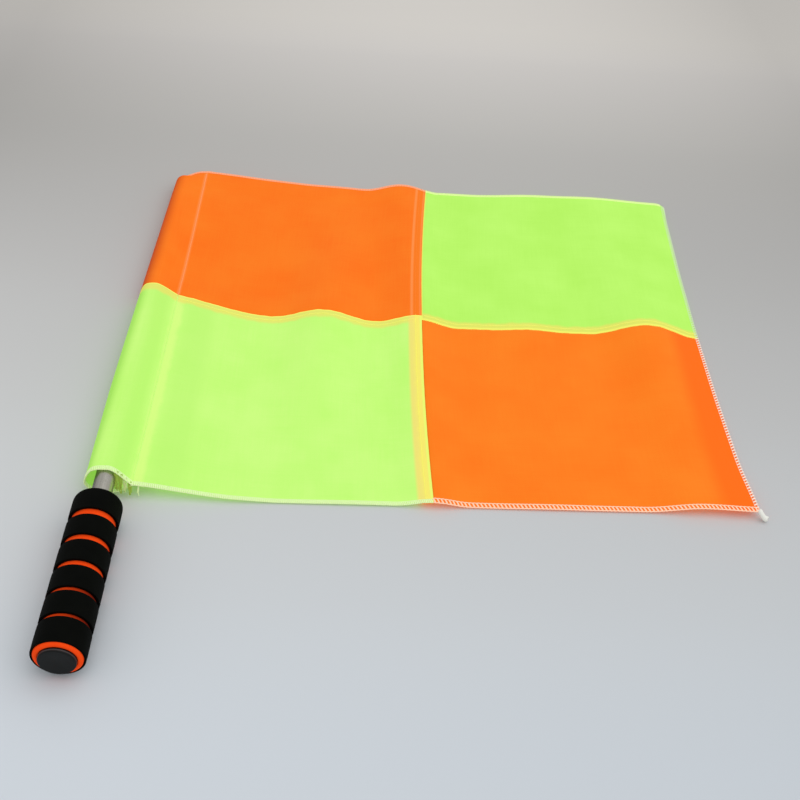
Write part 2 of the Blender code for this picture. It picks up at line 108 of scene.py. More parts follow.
def feed(tree, node, **values):
    """Links values that change over the surface to the node's inputs of those names."""
    for name, value in values.items():
        tree.links.new(value, node.inputs[name.replace("_", " ")])


def worked_out(tree, operation, *values):
    """The result of a Math node on the values in their order."""
    node = linked(tree, "ShaderNodeMath", operation=operation)
    for socket, value in zip(node.inputs, values):
        put(tree, socket, value)
    return node.outputs["Value"]


def carried(tree, value, start, end, low=0.0, high=1.0, ease="LINEAR"):
    """The value taken from the range start to end over to low to high, and held there."""
    node = linked(tree, "ShaderNodeMapRange", Value=value, interpolation_type=ease)
    for name, edge in zip(("From Min", "From Max", "To Min", "To Max"), (start, end, low, high)):
        put(tree, node.inputs[name], edge)
    return node.outputs["Result"]


def scaled(tree, vector, scale):
    """The vector or colour times the scale."""
    node = linked(tree, "ShaderNodeVectorMath", operation="SCALE", Vector=vector, Scale=scale)
    return node.outputs["Vector"]


def noise(tree, place, scale, detail=3.0):
    """Soft noise, with scale lumps to the metre."""
    node = linked(tree, "ShaderNodeTexNoise", Vector=place, Scale=scale, Detail=detail)
    return node.outputs["Fac"]


def parts(tree, vector):
    """The vector's X, Y and Z."""
    return linked(tree, "ShaderNodeSeparateXYZ", Vector=vector).outputs


def object_place(tree):
    """A point's place on the piece, which is its place in the row frame."""
    return linked(tree, "ShaderNodeTexCoord").outputs["Object"]


def relief(tree, height, strength, depth):
    """The normal of a bump whose full height is the depth."""
    node = linked(tree, "ShaderNodeBump", Height=height, Strength=strength, Distance=depth)
    return node.outputs["Normal"]


def new_material(name, **shader_values):
    """A material with the values set on its Principled shader; gives material, tree and shader."""
    material = bpy.data.materials.new(name)
    material.use_nodes = True
    shader = material.node_tree.nodes["Principled BSDF"]
    for key, value in shader_values.items():
        shader.inputs[key.replace("_", " ")].default_value = value
    return material, material.node_tree, shader


def table_material():
    """Pale grey paint with a faint mottle. Painted light and shade change its tone from front to
    back, make it fall a little to the right at the front, and fall to both sides, as a parabola,
    at the back."""
    material, tree, shader = new_material("table paint", Roughness=0.75, Specular_IOR_Level=0.2)
    place = object_place(tree)
    split = parts(tree, place)
    first, last = TABLE_TONES[0][0], TABLE_TONES[-1][0]
    tones = linked(tree, "ShaderNodeValToRGB", Fac=carried(tree, split["Y"], first, last))
    tones.color_ramp.interpolation = "CARDINAL"
    for number, (y, tone) in enumerate(TABLE_TONES):
        share = (y - first) / (last - first)
        stops = tones.color_ramp.elements
        stop = stops[0] if number == 0 else stops[-1] if share == 1 else stops.new(share)
        stop.color = tone
    aside = linked(tree, "ShaderNodeClamp", Value=split["X"], Min=-TABLE_SIDE, Max=TABLE_SIDE)
    aside = aside.outputs["Result"]
    slanted = worked_out(tree, "MULTIPLY_ADD", aside, -TABLE_SLANT, 1.0)
    squared = worked_out(tree, "MULTIPLY", aside, aside)
    bowed = worked_out(tree, "MULTIPLY_ADD", squared, -TABLE_BOW, 1.0)
    back = carried(tree, split["Y"], *TABLE_BACK, ease="SMOOTHSTEP")
    share = linked(tree, "ShaderNodeMix", Factor=back, A=slanted, B=bowed).outputs[0]
    mottle = relief(tree, noise(tree, place, 900.0, 2.0), 0.05, 0.0002)
    feed(tree, shader, Base_Color=scaled(tree, tones.outputs["Color"], share), Normal=mottle)
    return material


def mesh_piece(name, points, faces, material):
    """A smooth mesh object at the origin from an array of points and an array or list of faces."""
    mesh = bpy.data.meshes.new(name)
    mesh.from_pydata(points.tolist(), [], faces if isinstance(faces, list) else faces.tolist())
    mesh.materials.append(material)
    mesh.shade_smooth()
    mesh.update()
    piece = bpy.data.objects.new(name, mesh)
    bpy.context.scene.collection.objects.link(piece)
    return piece


corners = np.array(((-1, -1, 0), (1, -1, 0), (1, 1, 0), (-1, 1, 0))) * TABLE_HALF
table = mesh_piece("table", corners, [(0, 1, 2, 3)], table_material())

# ---------------------------------------------------------------------------------------------
# The light: a wide soft box over the table, a little to the right, and an even, bright room.
# Together they light a level white surface to about 1.
LAMP_SIZE = 2.0
LAMP_PLACE = (0.55, -0.10, 1.5)
LAMP_POWER = 11.0
ROOM_LEVEL = 0.70
lamp_data = bpy.data.lights.new("soft box", "AREA")
lamp_data.shape = "SQUARE"
lamp_data.size = LAMP_SIZE
lamp_data.energy = LAMP_POWER
lamp = bpy.data.objects.new("soft box", lamp_data)
lamp.location = LAMP_PLACE
lamp.rotation_euler = (-Vector(LAMP_PLACE)).to_track_quat("-Z", "Y").to_euler()
bpy.context.scene.collection.objects.link(lamp)
world = bpy.data.worlds.new("room")
world.use_nodes = True
world.node_tree.nodes["Background"].inputs["Color"].default_value = (1, 1, 1, 1)
world.node_tree.nodes["Background"].inputs["Strength"].default_value = ROOM_LEVEL
bpy.context.scene.world = world
bpy.context.scene.view_settings.view_transform = "Standard"

# The camera: in front and to the right of the butt, looking down at the cloth.
CAMERA_FROM_BUTT = (0.14315, -0.35401, 0.53698)
CAMERA_YAW = math.radians(4.078)
CAMERA_DOWN = math.radians(42.237)
CAMERA_ROLL = math.radians(5.592)
SENSOR = 36.0
LENS = 50.986
ahead = Vector(
    (
        math.sin(CAMERA_YAW) * math.cos(CAMERA_DOWN),
        math.cos(CAMERA_YAW) * math.cos(CAMERA_DOWN),
        -math.sin(CAMERA_DOWN),
    )
)
level = Vector((math.cos(CAMERA_YAW), -math.sin(CAMERA_YAW), 0.0))
upward = level.cross(ahead)
camera_right = level * math.cos(CAMERA_ROLL) + upward * math.sin(CAMERA_ROLL)
camera_up = upward * math.cos(CAMERA_ROLL) - level * math.sin(CAMERA_ROLL)
camera_data = bpy.data.cameras.new("camera")
camera_data.sensor_width = SENSOR
camera_data.lens = LENS
camera = bpy.data.objects.new("camera", camera_data)
turn = Matrix((camera_right, camera_up, -ahead)).transposed().to_4x4()
camera.matrix_world = Matrix.Translation(Vector(on_table) + Vector(CAMERA_FROM_BUTT)) @ turn
bpy.context.scene.collection.objects.link(camera)
bpy.context.scene.camera = camera

# ---------------------------------------------------------------------------------------------
# The pole's tube: thin drawn steel, bright, with fine scuffs along its length. It starts inside
# the butt and ends under the sleeve's closed end.
GAP = 0.0003
TUBE_RADIUS = 0.00635
TUBE_WALL = 0.0006
TUBE_INSET = 0.0005
TUBE_END = 0.487
TUBE_EDGE = 0.00015
ROUND_SIDES = 96
STEEL_DARK = (0.33, 0.318, 0.280, 1)
STEEL_LIGHT = (0.51, 0.495, 0.440, 1)
# A painted reflection: the tube's left side is darkened as if it reflected something dark.
STEEL_DARK_REFLECTION = (0.080, 0.076, 0.066, 1)
STEEL_DARK_REFLECTION_REACH = (-0.0064, -0.0012)
STREAK_STRETCH = 60.0
pole_side = np.array((1.0, 0.0, 0.0))
pole_up = np.cross(pole_side, pole_way)


def rounded(points, radius, steps=4):
    """A closed outline whose corners are eased: a quadratic curve from one edge to the next
    replaces each corner, starting and ending at the radius from it."""
    points = np.asarray(points, float)
    out = []
    for corner, before, after in zip(points, np.roll(points, 1, 0), np.roll(points, -1, 0)):
        start = corner + (before - corner) / np.linalg.norm(before - corner) * radius
        end = corner + (after - corner) / np.linalg.norm(after - corner) * radius
        for s in np.linspace(0, 1, steps + 1):
            out.append((1 - s) ** 2 * start + 2 * s * (1 - s) * corner + s * s * end)
    return np.array(out)


def grid_faces(rows, columns, round_rows=False, round_columns=False):
    """Quads over a grid of rows by columns of points; either way may close on itself."""
    r = np.arange(rows if round_rows else rows - 1)[:, None]
    c = np.arange(columns if round_columns else columns - 1)[None, :]
    r2, c2 = (r + 1) % rows, (c + 1) % columns
    quads = (r * columns + c, r * columns + c2, r2 * columns + c2, r2 * columns + c)
    return np.stack(np.broadcast_arrays(*quads), -1).reshape(-1, 4)


def turned(name, outline, material, closed=True):
    """A piece turned about the pole. For the outline's point (radius, place) and an angle, the
    point is butt + place * pole_way + radius * (cos * pole_side + sin * pole_up). An outline
    that isn't closed starts and ends on the axis, where the rings shrink to one point."""
    outline, sides = np.asarray(outline, float), ROUND_SIDES
    angle = np.linspace(0, 2 * np.pi, sides, endpoint=False)
    ring = np.cos(angle)[:, None] * pole_side + np.sin(angle)[:, None] * pole_up
    points = butt + outline[:, None, 1:] * pole_way + outline[:, None, :1] * ring
    if closed:
        faces = grid_faces(len(outline), sides, True, True)[:, ::-1]
        return mesh_piece(name, points.reshape(-1, 3), faces, material)
    rings = points[1:-1].reshape(-1, 3)
    ends = np.stack((butt + outline[0, 1] * pole_way, butt + outline[-1, 1] * pole_way))
    faces = grid_faces(len(outline) - 2, sides, False, True)[:, ::-1].tolist()
    last = (len(outline) - 3) * sides
    for k in range(sides):
        faces.append((len(rings), k, (k + 1) % sides))
        faces.append((len(rings) + 1, last + (k + 1) % sides, last + k))
    return mesh_piece(name, np.vstack((rings, ends)), faces, material)


def blended(tree, share, first, second, way="MIX"):
    """The colour that far from the first to the second."""
    node = linked(tree, "ShaderNodeMix", data_type="RGBA", blend_type=way, Factor=share)
    put(tree, node.inputs[6], first)
    put(tree, node.inputs[7], second)
    return node.outputs[2]


def steel_material():
    """Drawn steel: fine streaks along the tube in its grey, a few dull spots, and a painted dark
    reflection along its left side. The streaks are noise stretched along the pole."""
    material, tree, shader = new_material("drawn steel", Metallic=1.0, IOR=1.5)
    place = object_place(tree)
    along = linked(tree, "ShaderNodeMapping", vector_type="TEXTURE", Vector=place)
    along.inputs["Location"].default_value = tuple(butt)
    along.inputs["Rotation"].default_value = (math.atan2(pole_way[2], pole_way[1]), 0, 0)
    along.inputs["Scale"].default_value = (1.0, STREAK_STRETCH, 1.0)
    along = along.outputs["Vector"]
    streak = noise(tree, along, 1500.0)
    tone = blended(tree, streak, STEEL_DARK, STEEL_LIGHT)
    # The painted dark reflection, over the tube's left side.
    side = carried(tree, parts(tree, along)["X"], *STEEL_DARK_REFLECTION_REACH, ease="SMOOTHSTEP")
    gloss = carried(tree, noise(tree, place, 260.0), 0.35, 0.7, 0.26, 0.4)
    feed(tree, shader, Base_Color=blended(tree, side, STEEL_DARK_REFLECTION, tone), Roughness=gloss)
    feed(tree, shader, Normal=relief(tree, streak, 0.25, 0.00003))
    return material


tube_outline = rounded(
    (
        (TUBE_RADIUS, TUBE_INSET),
        (TUBE_RADIUS, TUBE_END),
        (TUBE_RADIUS - TUBE_WALL, TUBE_END),
        (TUBE_RADIUS - TUBE_WALL, TUBE_INSET),
    ),
    TUBE_EDGE,
)
tube = turned("tube", tube_outline, steel_material())
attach(tube, "pole")
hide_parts("pole_tube")

# ---------------------------------------------------------------------------------------------
# The grip's core: a tube of dense orange foam glued on the steel. It shows at the butt and as
# the floor of the five grooves that are turned through the black skin.
GRIP_RADIUS = 0.015
CORE_RADIUS = 0.0136
GROOVE_FLOOR = 0.013
FLOOR_FROM = 0.0123
END_BAND_LENGTH = 0.0163
BAND_LENGTH = 0.015
GROOVE_WIDTHS = (0.0028, 0.0030, 0.0041, 0.0045, 0.0053)
GRIP_LENGTH = 2 * END_BAND_LENGTH + 4 * BAND_LENGTH + sum(GROOVE_WIDTHS)
CORE_EDGE = 0.0005
CORE_RING = 0.0108
CORE_BULGE = 0.0013
GRAIN = 3200.0
MOTTLES = 140.0
PIT_DEPTH = 0.0002


def mix(low, high, share):
    """The value that far from low to high."""
    return low + (high - low) * share


def new_group(name, inputs, outputs):
    """A shader node group with named inputs (name, kind, value) and outputs (name, kind)."""
    group = bpy.data.node_groups.new(name, "ShaderNodeTree")
    for label, kind, value in inputs:
        item = group.interface.new_socket(label, in_out="INPUT", socket_type=kind)
        if value is not None:
            item.default_value = value
    for label, kind in outputs:
        group.interface.new_socket(label, in_out="OUTPUT", socket_type=kind)
    inside = group.nodes.new("NodeGroupInput")
    outside = group.nodes.new("NodeGroupOutput")
    return group, inside, outside


def foam_group():
    """Closed-cell foam: small round pores in a finely grained skin, with a slow unevenness."""
    group, inside, outside = new_group(
        "foam pores",
        (("Place", "NodeSocketVector", None), ("Pores per metre", "NodeSocketFloat", 1400.0)),
        (("Height", "NodeSocketFloat"), ("Mottle", "NodeSocketFloat")),
    )
    place, density = inside.outputs["Place"], inside.outputs["Pores per metre"]
    cell = linked(group, "ShaderNodeTexVoronoi", Vector=place, Scale=density)
    pore = carried(group, cell.outputs["Distance"], 0.05, 0.45)
    height = worked_out(group, "MULTIPLY_ADD", noise(group, place, GRAIN, 2.0), 0.5, pore)
    feed(group, outside, Height=height, Mottle=noise(group, place, MOTTLES))
    return group


foam_pores = foam_group()
# Painted shade: the two grooves nearest the butt are darkened, more so on the right, where shade
# falls in them.
GROOVE_SHADE_FROM = END_BAND_LENGTH / 2
GROOVE_SHADE_TO = END_BAND_LENGTH + GROOVE_WIDTHS[0] + BAND_LENGTH + GROOVE_WIDTHS[1] + 0.002
GROOVE_SHADE_FADE = 0.006
GROOVE_SHADE_ACROSS = (-0.35 * GRIP_RADIUS, 0.8 * GRIP_RADIUS)
GROOVE_SHADE_AMOUNT = (0.12, 0.86)
GROOVE_SHADE_COLOUR = (0.10, 0.004, 0.002, 1)


def from_butt(tree, place):
    """The way from the butt to the place, as a vector and as its X, Y and Z."""
    way = linked(tree, "ShaderNodeVectorMath", operation="SUBTRACT", Vector=place)
    way.inputs[1].default_value = tuple(butt)
    return way.outputs["Vector"], parts(tree, way.outputs["Vector"])


def shade_painted_in_grooves(tree, place, colour):
    """The colour with painted shade in the two grooves nearest the butt, more so on the right."""
    split = from_butt(tree, place)[1]
    starts = carried(tree, split["Y"], GROOVE_SHADE_FROM, GROOVE_SHADE_FROM + GROOVE_SHADE_FADE)
    ends = carried(tree, split["Y"], GROOVE_SHADE_TO, GROOVE_SHADE_TO + GROOVE_SHADE_FADE, 1.0, 0.0)
    groove_shade = worked_out(tree, "MULTIPLY", starts, ends)
    right = carried(tree, split["X"], *GROOVE_SHADE_ACROSS, *GROOVE_SHADE_AMOUNT)
    return blended(tree, worked_out(tree, "MULTIPLY", groove_shade, right), colour, GROOVE_SHADE_COLOUR)


def foam_material(name, dark, light, pores, strength, specular, painted_glow):
    """Foam between two tones, mottled, with pores as deep as the strength says. Foam with a
    painted glow also gets painted shade in its grooves."""
    material, tree, shader = new_material(
        name, Roughness=0.8, Specular_IOR_Level=specular, Emission_Strength=painted_glow
    )
    place = object_place(tree)
    foam = linked(
        tree, "ShaderNodeGroup", node_tree=foam_pores, Place=place, Pores_per_metre=pores
    ).outputs
    colour = blended(tree, foam["Mottle"], dark, light)
    # Only the glowing orange foam gets the painted shade in its grooves.
    if painted_glow:
        colour = shade_painted_in_grooves(tree, place, colour)
    pitted = relief(tree, foam["Height"], strength, PIT_DEPTH)
    feed(tree, shader, Base_Color=colour, Emission_Color=colour, Normal=pitted)
    return material


FOAM_DARK = (0.84, 0.050, 0.003, 1)
FOAM_LIGHT = (0.98, 0.080, 0.006, 1)
# The orange foam has a painted glow that brightens it; the black foam has none.
orange_foam = foam_material(
    "orange foam", FOAM_DARK, FOAM_LIGHT, pores=1500.0, strength=0.3, specular=0.08, painted_glow=0.14
)
bore = TUBE_RADIUS + GAP
floor_step = CORE_RADIUS - GROOVE_FLOOR
core_end = np.array(
    (
        (CORE_RADIUS, FLOOR_FROM),
        (GROOVE_FLOOR, FLOOR_FROM + floor_step),
        (GROOVE_FLOOR, GRIP_LENGTH - CORE_EDGE),
        (GROOVE_FLOOR - CORE_EDGE, GRIP_LENGTH),
        (bore, GRIP_LENGTH),
        (bore, 0.0),
        (CORE_RING, 0.0),
    )
)
swell = np.linspace(0, 1, 9)
bulge = CORE_BULGE * np.cos(np.pi / 2 * np.clip(swell * 1.25 - 0.25, -1, 1)) ** 0.7
core_ring = np.stack((mix(CORE_RING + 0.0001, CORE_RADIUS, swell), -bulge), 1)
core = turned("foam_core", np.vstack((core_end, core_ring)), orange_foam)
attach(core, "pole")
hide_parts("grip_core")

# ---------------------------------------------------------------------------------------------
# The grip's skin: black foam cut into six bands by the grooves. Each band swells a little, its
# edges are softened, and the last one rounds off towards the bare tube.
BAND_EDGE = 0.0003
BUTT_EDGE = 0.0005
SHOULDER_EDGE = 0.0032
BAND_SWELL = 0.00006
SKIN_INSIDE = GROOVE_FLOOR + GAP
BLACK_DARK = (0.0008, 0.0011, 0.0007, 1)
BLACK_LIGHT = (0.0026, 0.0030, 0.0023, 1)
black_foam = foam_material(
    "black foam", BLACK_DARK, BLACK_LIGHT, pores=1300.0, strength=0.45, specular=0.04, painted_glow=0.0
)


def band_outline(low, high, near, far):
    """Half section of one band: eased corners, and a top that swells as a parabola. The first
    band is thinner inside where the core widens towards the butt."""
    skin = GRIP_RADIUS - CORE_RADIUS - GAP
    corner = np.linspace(0, np.pi / 2, 6)
    rise, run = 1 - np.sin(corner), 1 - np.cos(corner)
    near_arc = np.stack((GRIP_RADIUS - min(near, skin) * rise, low + near * run), 1)
    far_arc = np.stack((GRIP_RADIUS - min(far, skin) * run, high - far * rise), 1)
    top = np.linspace(low + near, high - far, 9)[1:-1]
    share = (top - low - near) / (high - far - low - near)
    swell = GRIP_RADIUS + BAND_SWELL * 4 * share * (1 - share)
    inside = np.array(((SKIN_INSIDE, high), (SKIN_INSIDE, low)))
    if low == 0:
        over_floor = (SKIN_INSIDE, FLOOR_FROM + floor_step + GAP)
        over_core = (CORE_RADIUS + GAP, FLOOR_FROM + GAP)
        inside = np.array((inside[0], over_floor, over_core, (CORE_RADIUS + GAP, 0.0)))
    return np.vstack((near_arc, np.stack((swell, top), 1), far_arc, inside))


band_start = 0.0
for number in range(len(GROOVE_WIDTHS) + 1):
    first, last = number == 0, number == len(GROOVE_WIDTHS)
    length = END_BAND_LENGTH if first or last else BAND_LENGTH
    outline = band_outline(
        band_start,
        band_start + length,
        BUTT_EDGE if first else BAND_EDGE,
        SHOULDER_EDGE if last else BAND_EDGE,
    )
    band = turned(f"grip_band_{number + 1}", outline, black_foam)
    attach(band, "pole")
    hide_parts(f"grip_band_{number + 1}")
    if not last:
        band_start += length + GROOVE_WIDTHS[number]

# ---------------------------------------------------------------------------------------------
# The butt's plug: a moulded disc of charcoal plastic on a ribbed stem that grips the bore.
# Its rim is rounded and its face is slightly dished and satin.
PLUG_HEAD_RADIUS = 0.0104
PLUG_ROUND = 0.0007
PLUG_LIT_AT = 0.0020
PLUG_DISH = 0.00025
STEM_RADIUS = TUBE_RADIUS - TUBE_WALL - GAP
PLUG_STEM = 0.016
RIB_PITCH = 0.0035
RIB_DEPTH = 0.0004
PLUG_DARK = (0.0030, 0.0038, 0.0036, 1)
PLUG_LIGHT = (0.0060, 0.0070, 0.0066, 1)
# A painted highlight: a pale line round the plug's rim, where its rounding catches the light.
PLUG_HIGHLIGHT = (0.070, 0.071, 0.074, 1)
PLUG_HIGHLIGHT_HALF = (0.0007, 0.0001)
PLUG_HIGHLIGHT_FROM_RIM = (0.0006, 0.0002)


def plastic_material():
    """Satin charcoal plastic with the fine grain of its mould, and a painted highlight as a pale
    line round its rim.
    """
    material, tree, shader = new_material("charcoal plastic", Specular_IOR_Level=0.16)
    place = object_place(tree)
    slow = noise(tree, place, 200.0, 2.0)
    way, split = from_butt(tree, place)
    level = linked(tree, "ShaderNodeVectorMath", operation="MULTIPLY", Vector=way)
    level.inputs[1].default_value = (1.0, 0.0, 1.0)
    level = level.outputs["Vector"]
    radius = linked(tree, "ShaderNodeVectorMath", operation="LENGTH", Vector=level)
    # The painted highlight lies near the rim and at a set depth along the pole.
    rim = [PLUG_HEAD_RADIUS - inwards for inwards in PLUG_HIGHLIGHT_FROM_RIM]
    off = worked_out(tree, "ABSOLUTE", worked_out(tree, "ADD", split["Y"], PLUG_LIT_AT))
    near_rim = carried(tree, radius.outputs["Value"], *rim)
    line = worked_out(tree, "MULTIPLY", near_rim, carried(tree, off, *PLUG_HIGHLIGHT_HALF))
    colour = blended(tree, line, blended(tree, slow, PLUG_DARK, PLUG_LIGHT), PLUG_HIGHLIGHT)
    gloss = carried(tree, slow, 0.0, 1.0, 0.42, 0.60)
    grain = relief(tree, noise(tree, place, 2600.0), 0.15, 0.00005)
    feed(tree, shader, Base_Color=colour, Roughness=gloss, Normal=grain)
    return material


def ribbed_stem(root, length, steps=48):
    """A stem's outline from its free end to its root: the radius dips between round ribs."""
    share = np.linspace(0, 1, steps)
    place = root + length * (1 - share)
    rib = np.cos(np.pi * length * (1 - share) / RIB_PITCH) ** 2
    radius = STEM_RADIUS - RIB_DEPTH * rib
    radius[0] = STEM_RADIUS - 2 * RIB_DEPTH
    stem = np.stack((radius, place), 1)
    return np.vstack(((0.0, root + length), stem))


plastic = plastic_material()
rim = np.linspace(0, np.pi / 2, 9)
rim_radius = PLUG_HEAD_RADIUS - PLUG_ROUND * (1 - np.cos(rim))
plug_rim = np.stack((rim_radius, -PLUG_PROUD + PLUG_ROUND * (1 - np.sin(rim))), 1)
face_share = np.linspace(1, 0, 10)[1:]
dish = PLUG_DISH * (1 - face_share**2) ** 2
plug_face = np.stack(((PLUG_HEAD_RADIUS - PLUG_ROUND) * face_share, -PLUG_PROUD + dish), 1)
plug_outline = np.vstack(
    (ribbed_stem(-GAP, PLUG_STEM), (PLUG_HEAD_RADIUS, -GAP), plug_rim, plug_face)
)
plug = turned("plug", plug_outline[::-1], plastic, closed=False)
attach(plug, "pole")
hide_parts("butt_plug")

# The cap in the tube's tip is the same plastic; it lies out of sight in the sleeve's end.
cap = frame["nodes"]["tip_cap"]
cap.data.materials.clear()
cap.data.materials.append(plastic)

# ---------------------------------------------------------------------------------------------
# The cloth: four panels of thin plain-woven polyester, orange and lime by turns. They are seamed
# at the centre and across the middle, and the hoist panels are turned into the sleeve.
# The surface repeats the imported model's, whose cloth is thicker than the real one.
CLOTH_SOLID = 0.0006
CLOTH = 0.00025
SLEEVE_REST = 0.0002
SLEEVE_RADIUS = 0.00765
SLEEVE_FOLD = 0.0137
SLEEVE_FOLD_TIP = 0.0070
SLEEVE_END_LEFT = -0.0050
SLEEVE_END_LOW = 0.0072
SLEEVE_END_CORNER = 0.0075
END_CORNER_X = 0.013
END_CORNER_RUN = 0.018
SLEEVE_SAG = 0.0011
HEM_WIDTH = 0.008
STITCH_X_NEAR = 0.0155
STITCH_X_FAR = 0.0185
STITCH_Z_NEAR = 0.0078
STITCH_Z_FAR = 0.0056
STITCH_RISE_FAR = 0.0047
SKIRT_END = 0.104
SKIRT_LONGER_FAR = 0.046
NEAR_SLOPE = 0.026
NEAR_FULLER = 0.0014
FAR_SLOPE = 0.017
FLY_X = 0.4190
FLY_WAIST = 0.0044
FLY_SPREAD = 0.0030
CENTRE_SHARE = 0.4714
CENTRE_BOW = 0.0039
MID_HOIST = 0.503
MID_FLY = 0.491
ALLOWANCE = 0.007
LIFT = 0.0009
LIFT_WIDTH = 0.008
LIFT_REACH = 0.022
DRIFT_NEAR = 0.006
DRIFT_MID = 0.0165
DRIFT_REACH = 0.085
FLY_CORNER = 0.0085
# Each fold's places, heights and widths at the near edge, the middle and the far edge, and how
# far from the middle row its middle part reaches.
FOLDS = (
    ((0.118, 0.127, 0.135), (0.0, 0.009, 0.001), (0.03, 0.04, 0.035), 0.42),
    ((0.206, 0.199, 0.188), (0.0034, 0.0074, 0.0068), (0.025, 0.032, 0.033), 0.5),
    ((0.290, 0.285, 0.290), (0.0, 0.0021, 0.0013), (0.03, 0.03, 0.045), 0.2),
    ((0.383, 0.374, 0.350), (0.0045, 0.0108, 0.0035), (0.04, 0.045, 0.085), 0.45),
)
FOLD_END = 0.4
CORNER_CURL = 0.0040
CURL_FROM = 0.385
CURL_RUN = 0.035
CURL_ROWS = 0.15
TIP_ROWS = 0.6
CORNER_ROWS = 0.9
CORNER_RUN = 0.1
TIP = 0.4905
MOUTH_FROM_GRIP = 0.0162
CLOTH_PAST_TIP = 0.0133
END_ROW_INSIDE = 0.004
MOUTH_Y = GRIP_LENGTH + MOUTH_FROM_GRIP
HOIST_HEIGHT = TIP + CLOTH_PAST_TIP - MOUTH_Y
WIDTH = FLY_X - STITCH_X_NEAR
PAST_TIP = (TIP + GAP - MOUTH_Y) / HOIST_HEIGHT
END_ROW = 1.0 - END_ROW_INSIDE / HOIST_HEIGHT
FALL = -pole_way[2] / pole_way[1]
SEAM_DROP = 0.00072
SEAM_EASE = 0.0018
SEAM_ROLL = 0.00024
FOLD_UNDER = 0.0016
HALF_THICKER = (CLOTH_SOLID - CLOTH) / 2
SLEEVE_DENT = 0.0016
DENT_AT = 0.56
DENT_HALF = 0.06
PUCKER = 0.00016
PUCKER_REACH = 0.007
UNEVEN = 0.00022


def unit(vectors):
    """The vectors, each divided by its length."""
    return vectors / np.linalg.norm(vectors, axis=-1, keepdims=True)


def smooth(share):
    """s * s * (3 - 2 * s), held between 0 and 1."""
    share = np.clip(share, 0.0, 1.0)
    return share * share * (3 - 2 * share)


def three(values, t):
    """The parabola through three values at the near edge, the middle and the far edge."""
    near, middle, far = values
    return near * (2 * t - 1) * (t - 1) + middle * 4 * t * (1 - t) + far * t * (2 * t - 1)


def bump(offset, width):
    """A hump cos(pi/2 * offset/width) squared, and 0 past its half width."""
    return np.where(np.abs(offset) < width, np.cos(np.pi / 2 * offset / width) ** 2, 0.0)


def stitch_x(t):
    """Distance of the sleeve's stitches from the pole, from the near to the far edge."""
    return mix(STITCH_X_NEAR, STITCH_X_FAR, t)


def cloth_x(a, t):
    """x at share a from the sleeve's stitches to the fly, bowed in at the centre seam and fly."""
    fly = FLY_X + FLY_SPREAD * t - FLY_WAIST * 4 * t * (1 - t)
    bow = CENTRE_BOW * 4 * t * (1 - t) * bump(a - CENTRE_SHARE, CENTRE_SHARE)
    return mix(stitch_x(t), fly, a) - bow


def crimp(x, y, from_seam):
    """Puckers that fade out from a seam, and a slow unevenness all over the cloth: products of
    sines, whose radians to the metre sway, so that no two puckers are alike."""
    near_seam = np.exp(-((from_seam / PUCKER_REACH) ** 2))
    ripple = np.sin(710 * x + 3.1 * np.sin(61 * y)) * np.sin(560 * y + 2.3 * np.sin(83 * x))
    ripple += 0.6 * np.sin(431 * x + 1.9 * np.sin(47 * y) + 1.0) * np.cos(397 * y + 0.7)
    slow = np.sin(74 * x + 31 * y + 1.3) * np.sin(52 * y - 23 * x + 0.4)
    return PUCKER * near_seam * ripple + UNEVEN * slow


def height(x, y, t, from_edge, from_seam):
    """Height of the cloth's middle: its folds, the slope down from the sleeve, a lift along
    edges and seams where layers are turned under, and the puckers."""
    at_tip = smooth((t - TIP_ROWS) / (1 - TIP_ROWS))
    skirt_end = SKIRT_END + SKIRT_LONGER_FAR * at_tip
    share = (skirt_end - x) / (skirt_end - stitch_x(t))
    rise = mix(STITCH_Z_NEAR, STITCH_Z_FAR, t) + STITCH_RISE_FAR * at_tip
    skirt = rise * np.maximum(0.0, share)
    z = CLOTH_SOLID / 2 + mix(0.6, 1.0, smooth(share)) * skirt
    for places, heights, widths, span in FOLDS:
        near, middle, far = heights
        size = near * (1 - smooth(t / FOLD_END)) + middle * bump(t - 0.5, span)
        size = size + far * smooth((t - 1 + FOLD_END) / FOLD_END)
        z = z + size * bump(x - three(places, t), three(widths, t))
    z = z + CORNER_CURL * smooth((x - CURL_FROM) / CURL_RUN) * (1 - smooth(t / CURL_ROWS))
    z = z + LIFT * (1 - smooth((from_edge - LIFT_WIDTH) / LIFT_REACH)) + HALF_THICKER
    return z + crimp(x, y, from_seam)


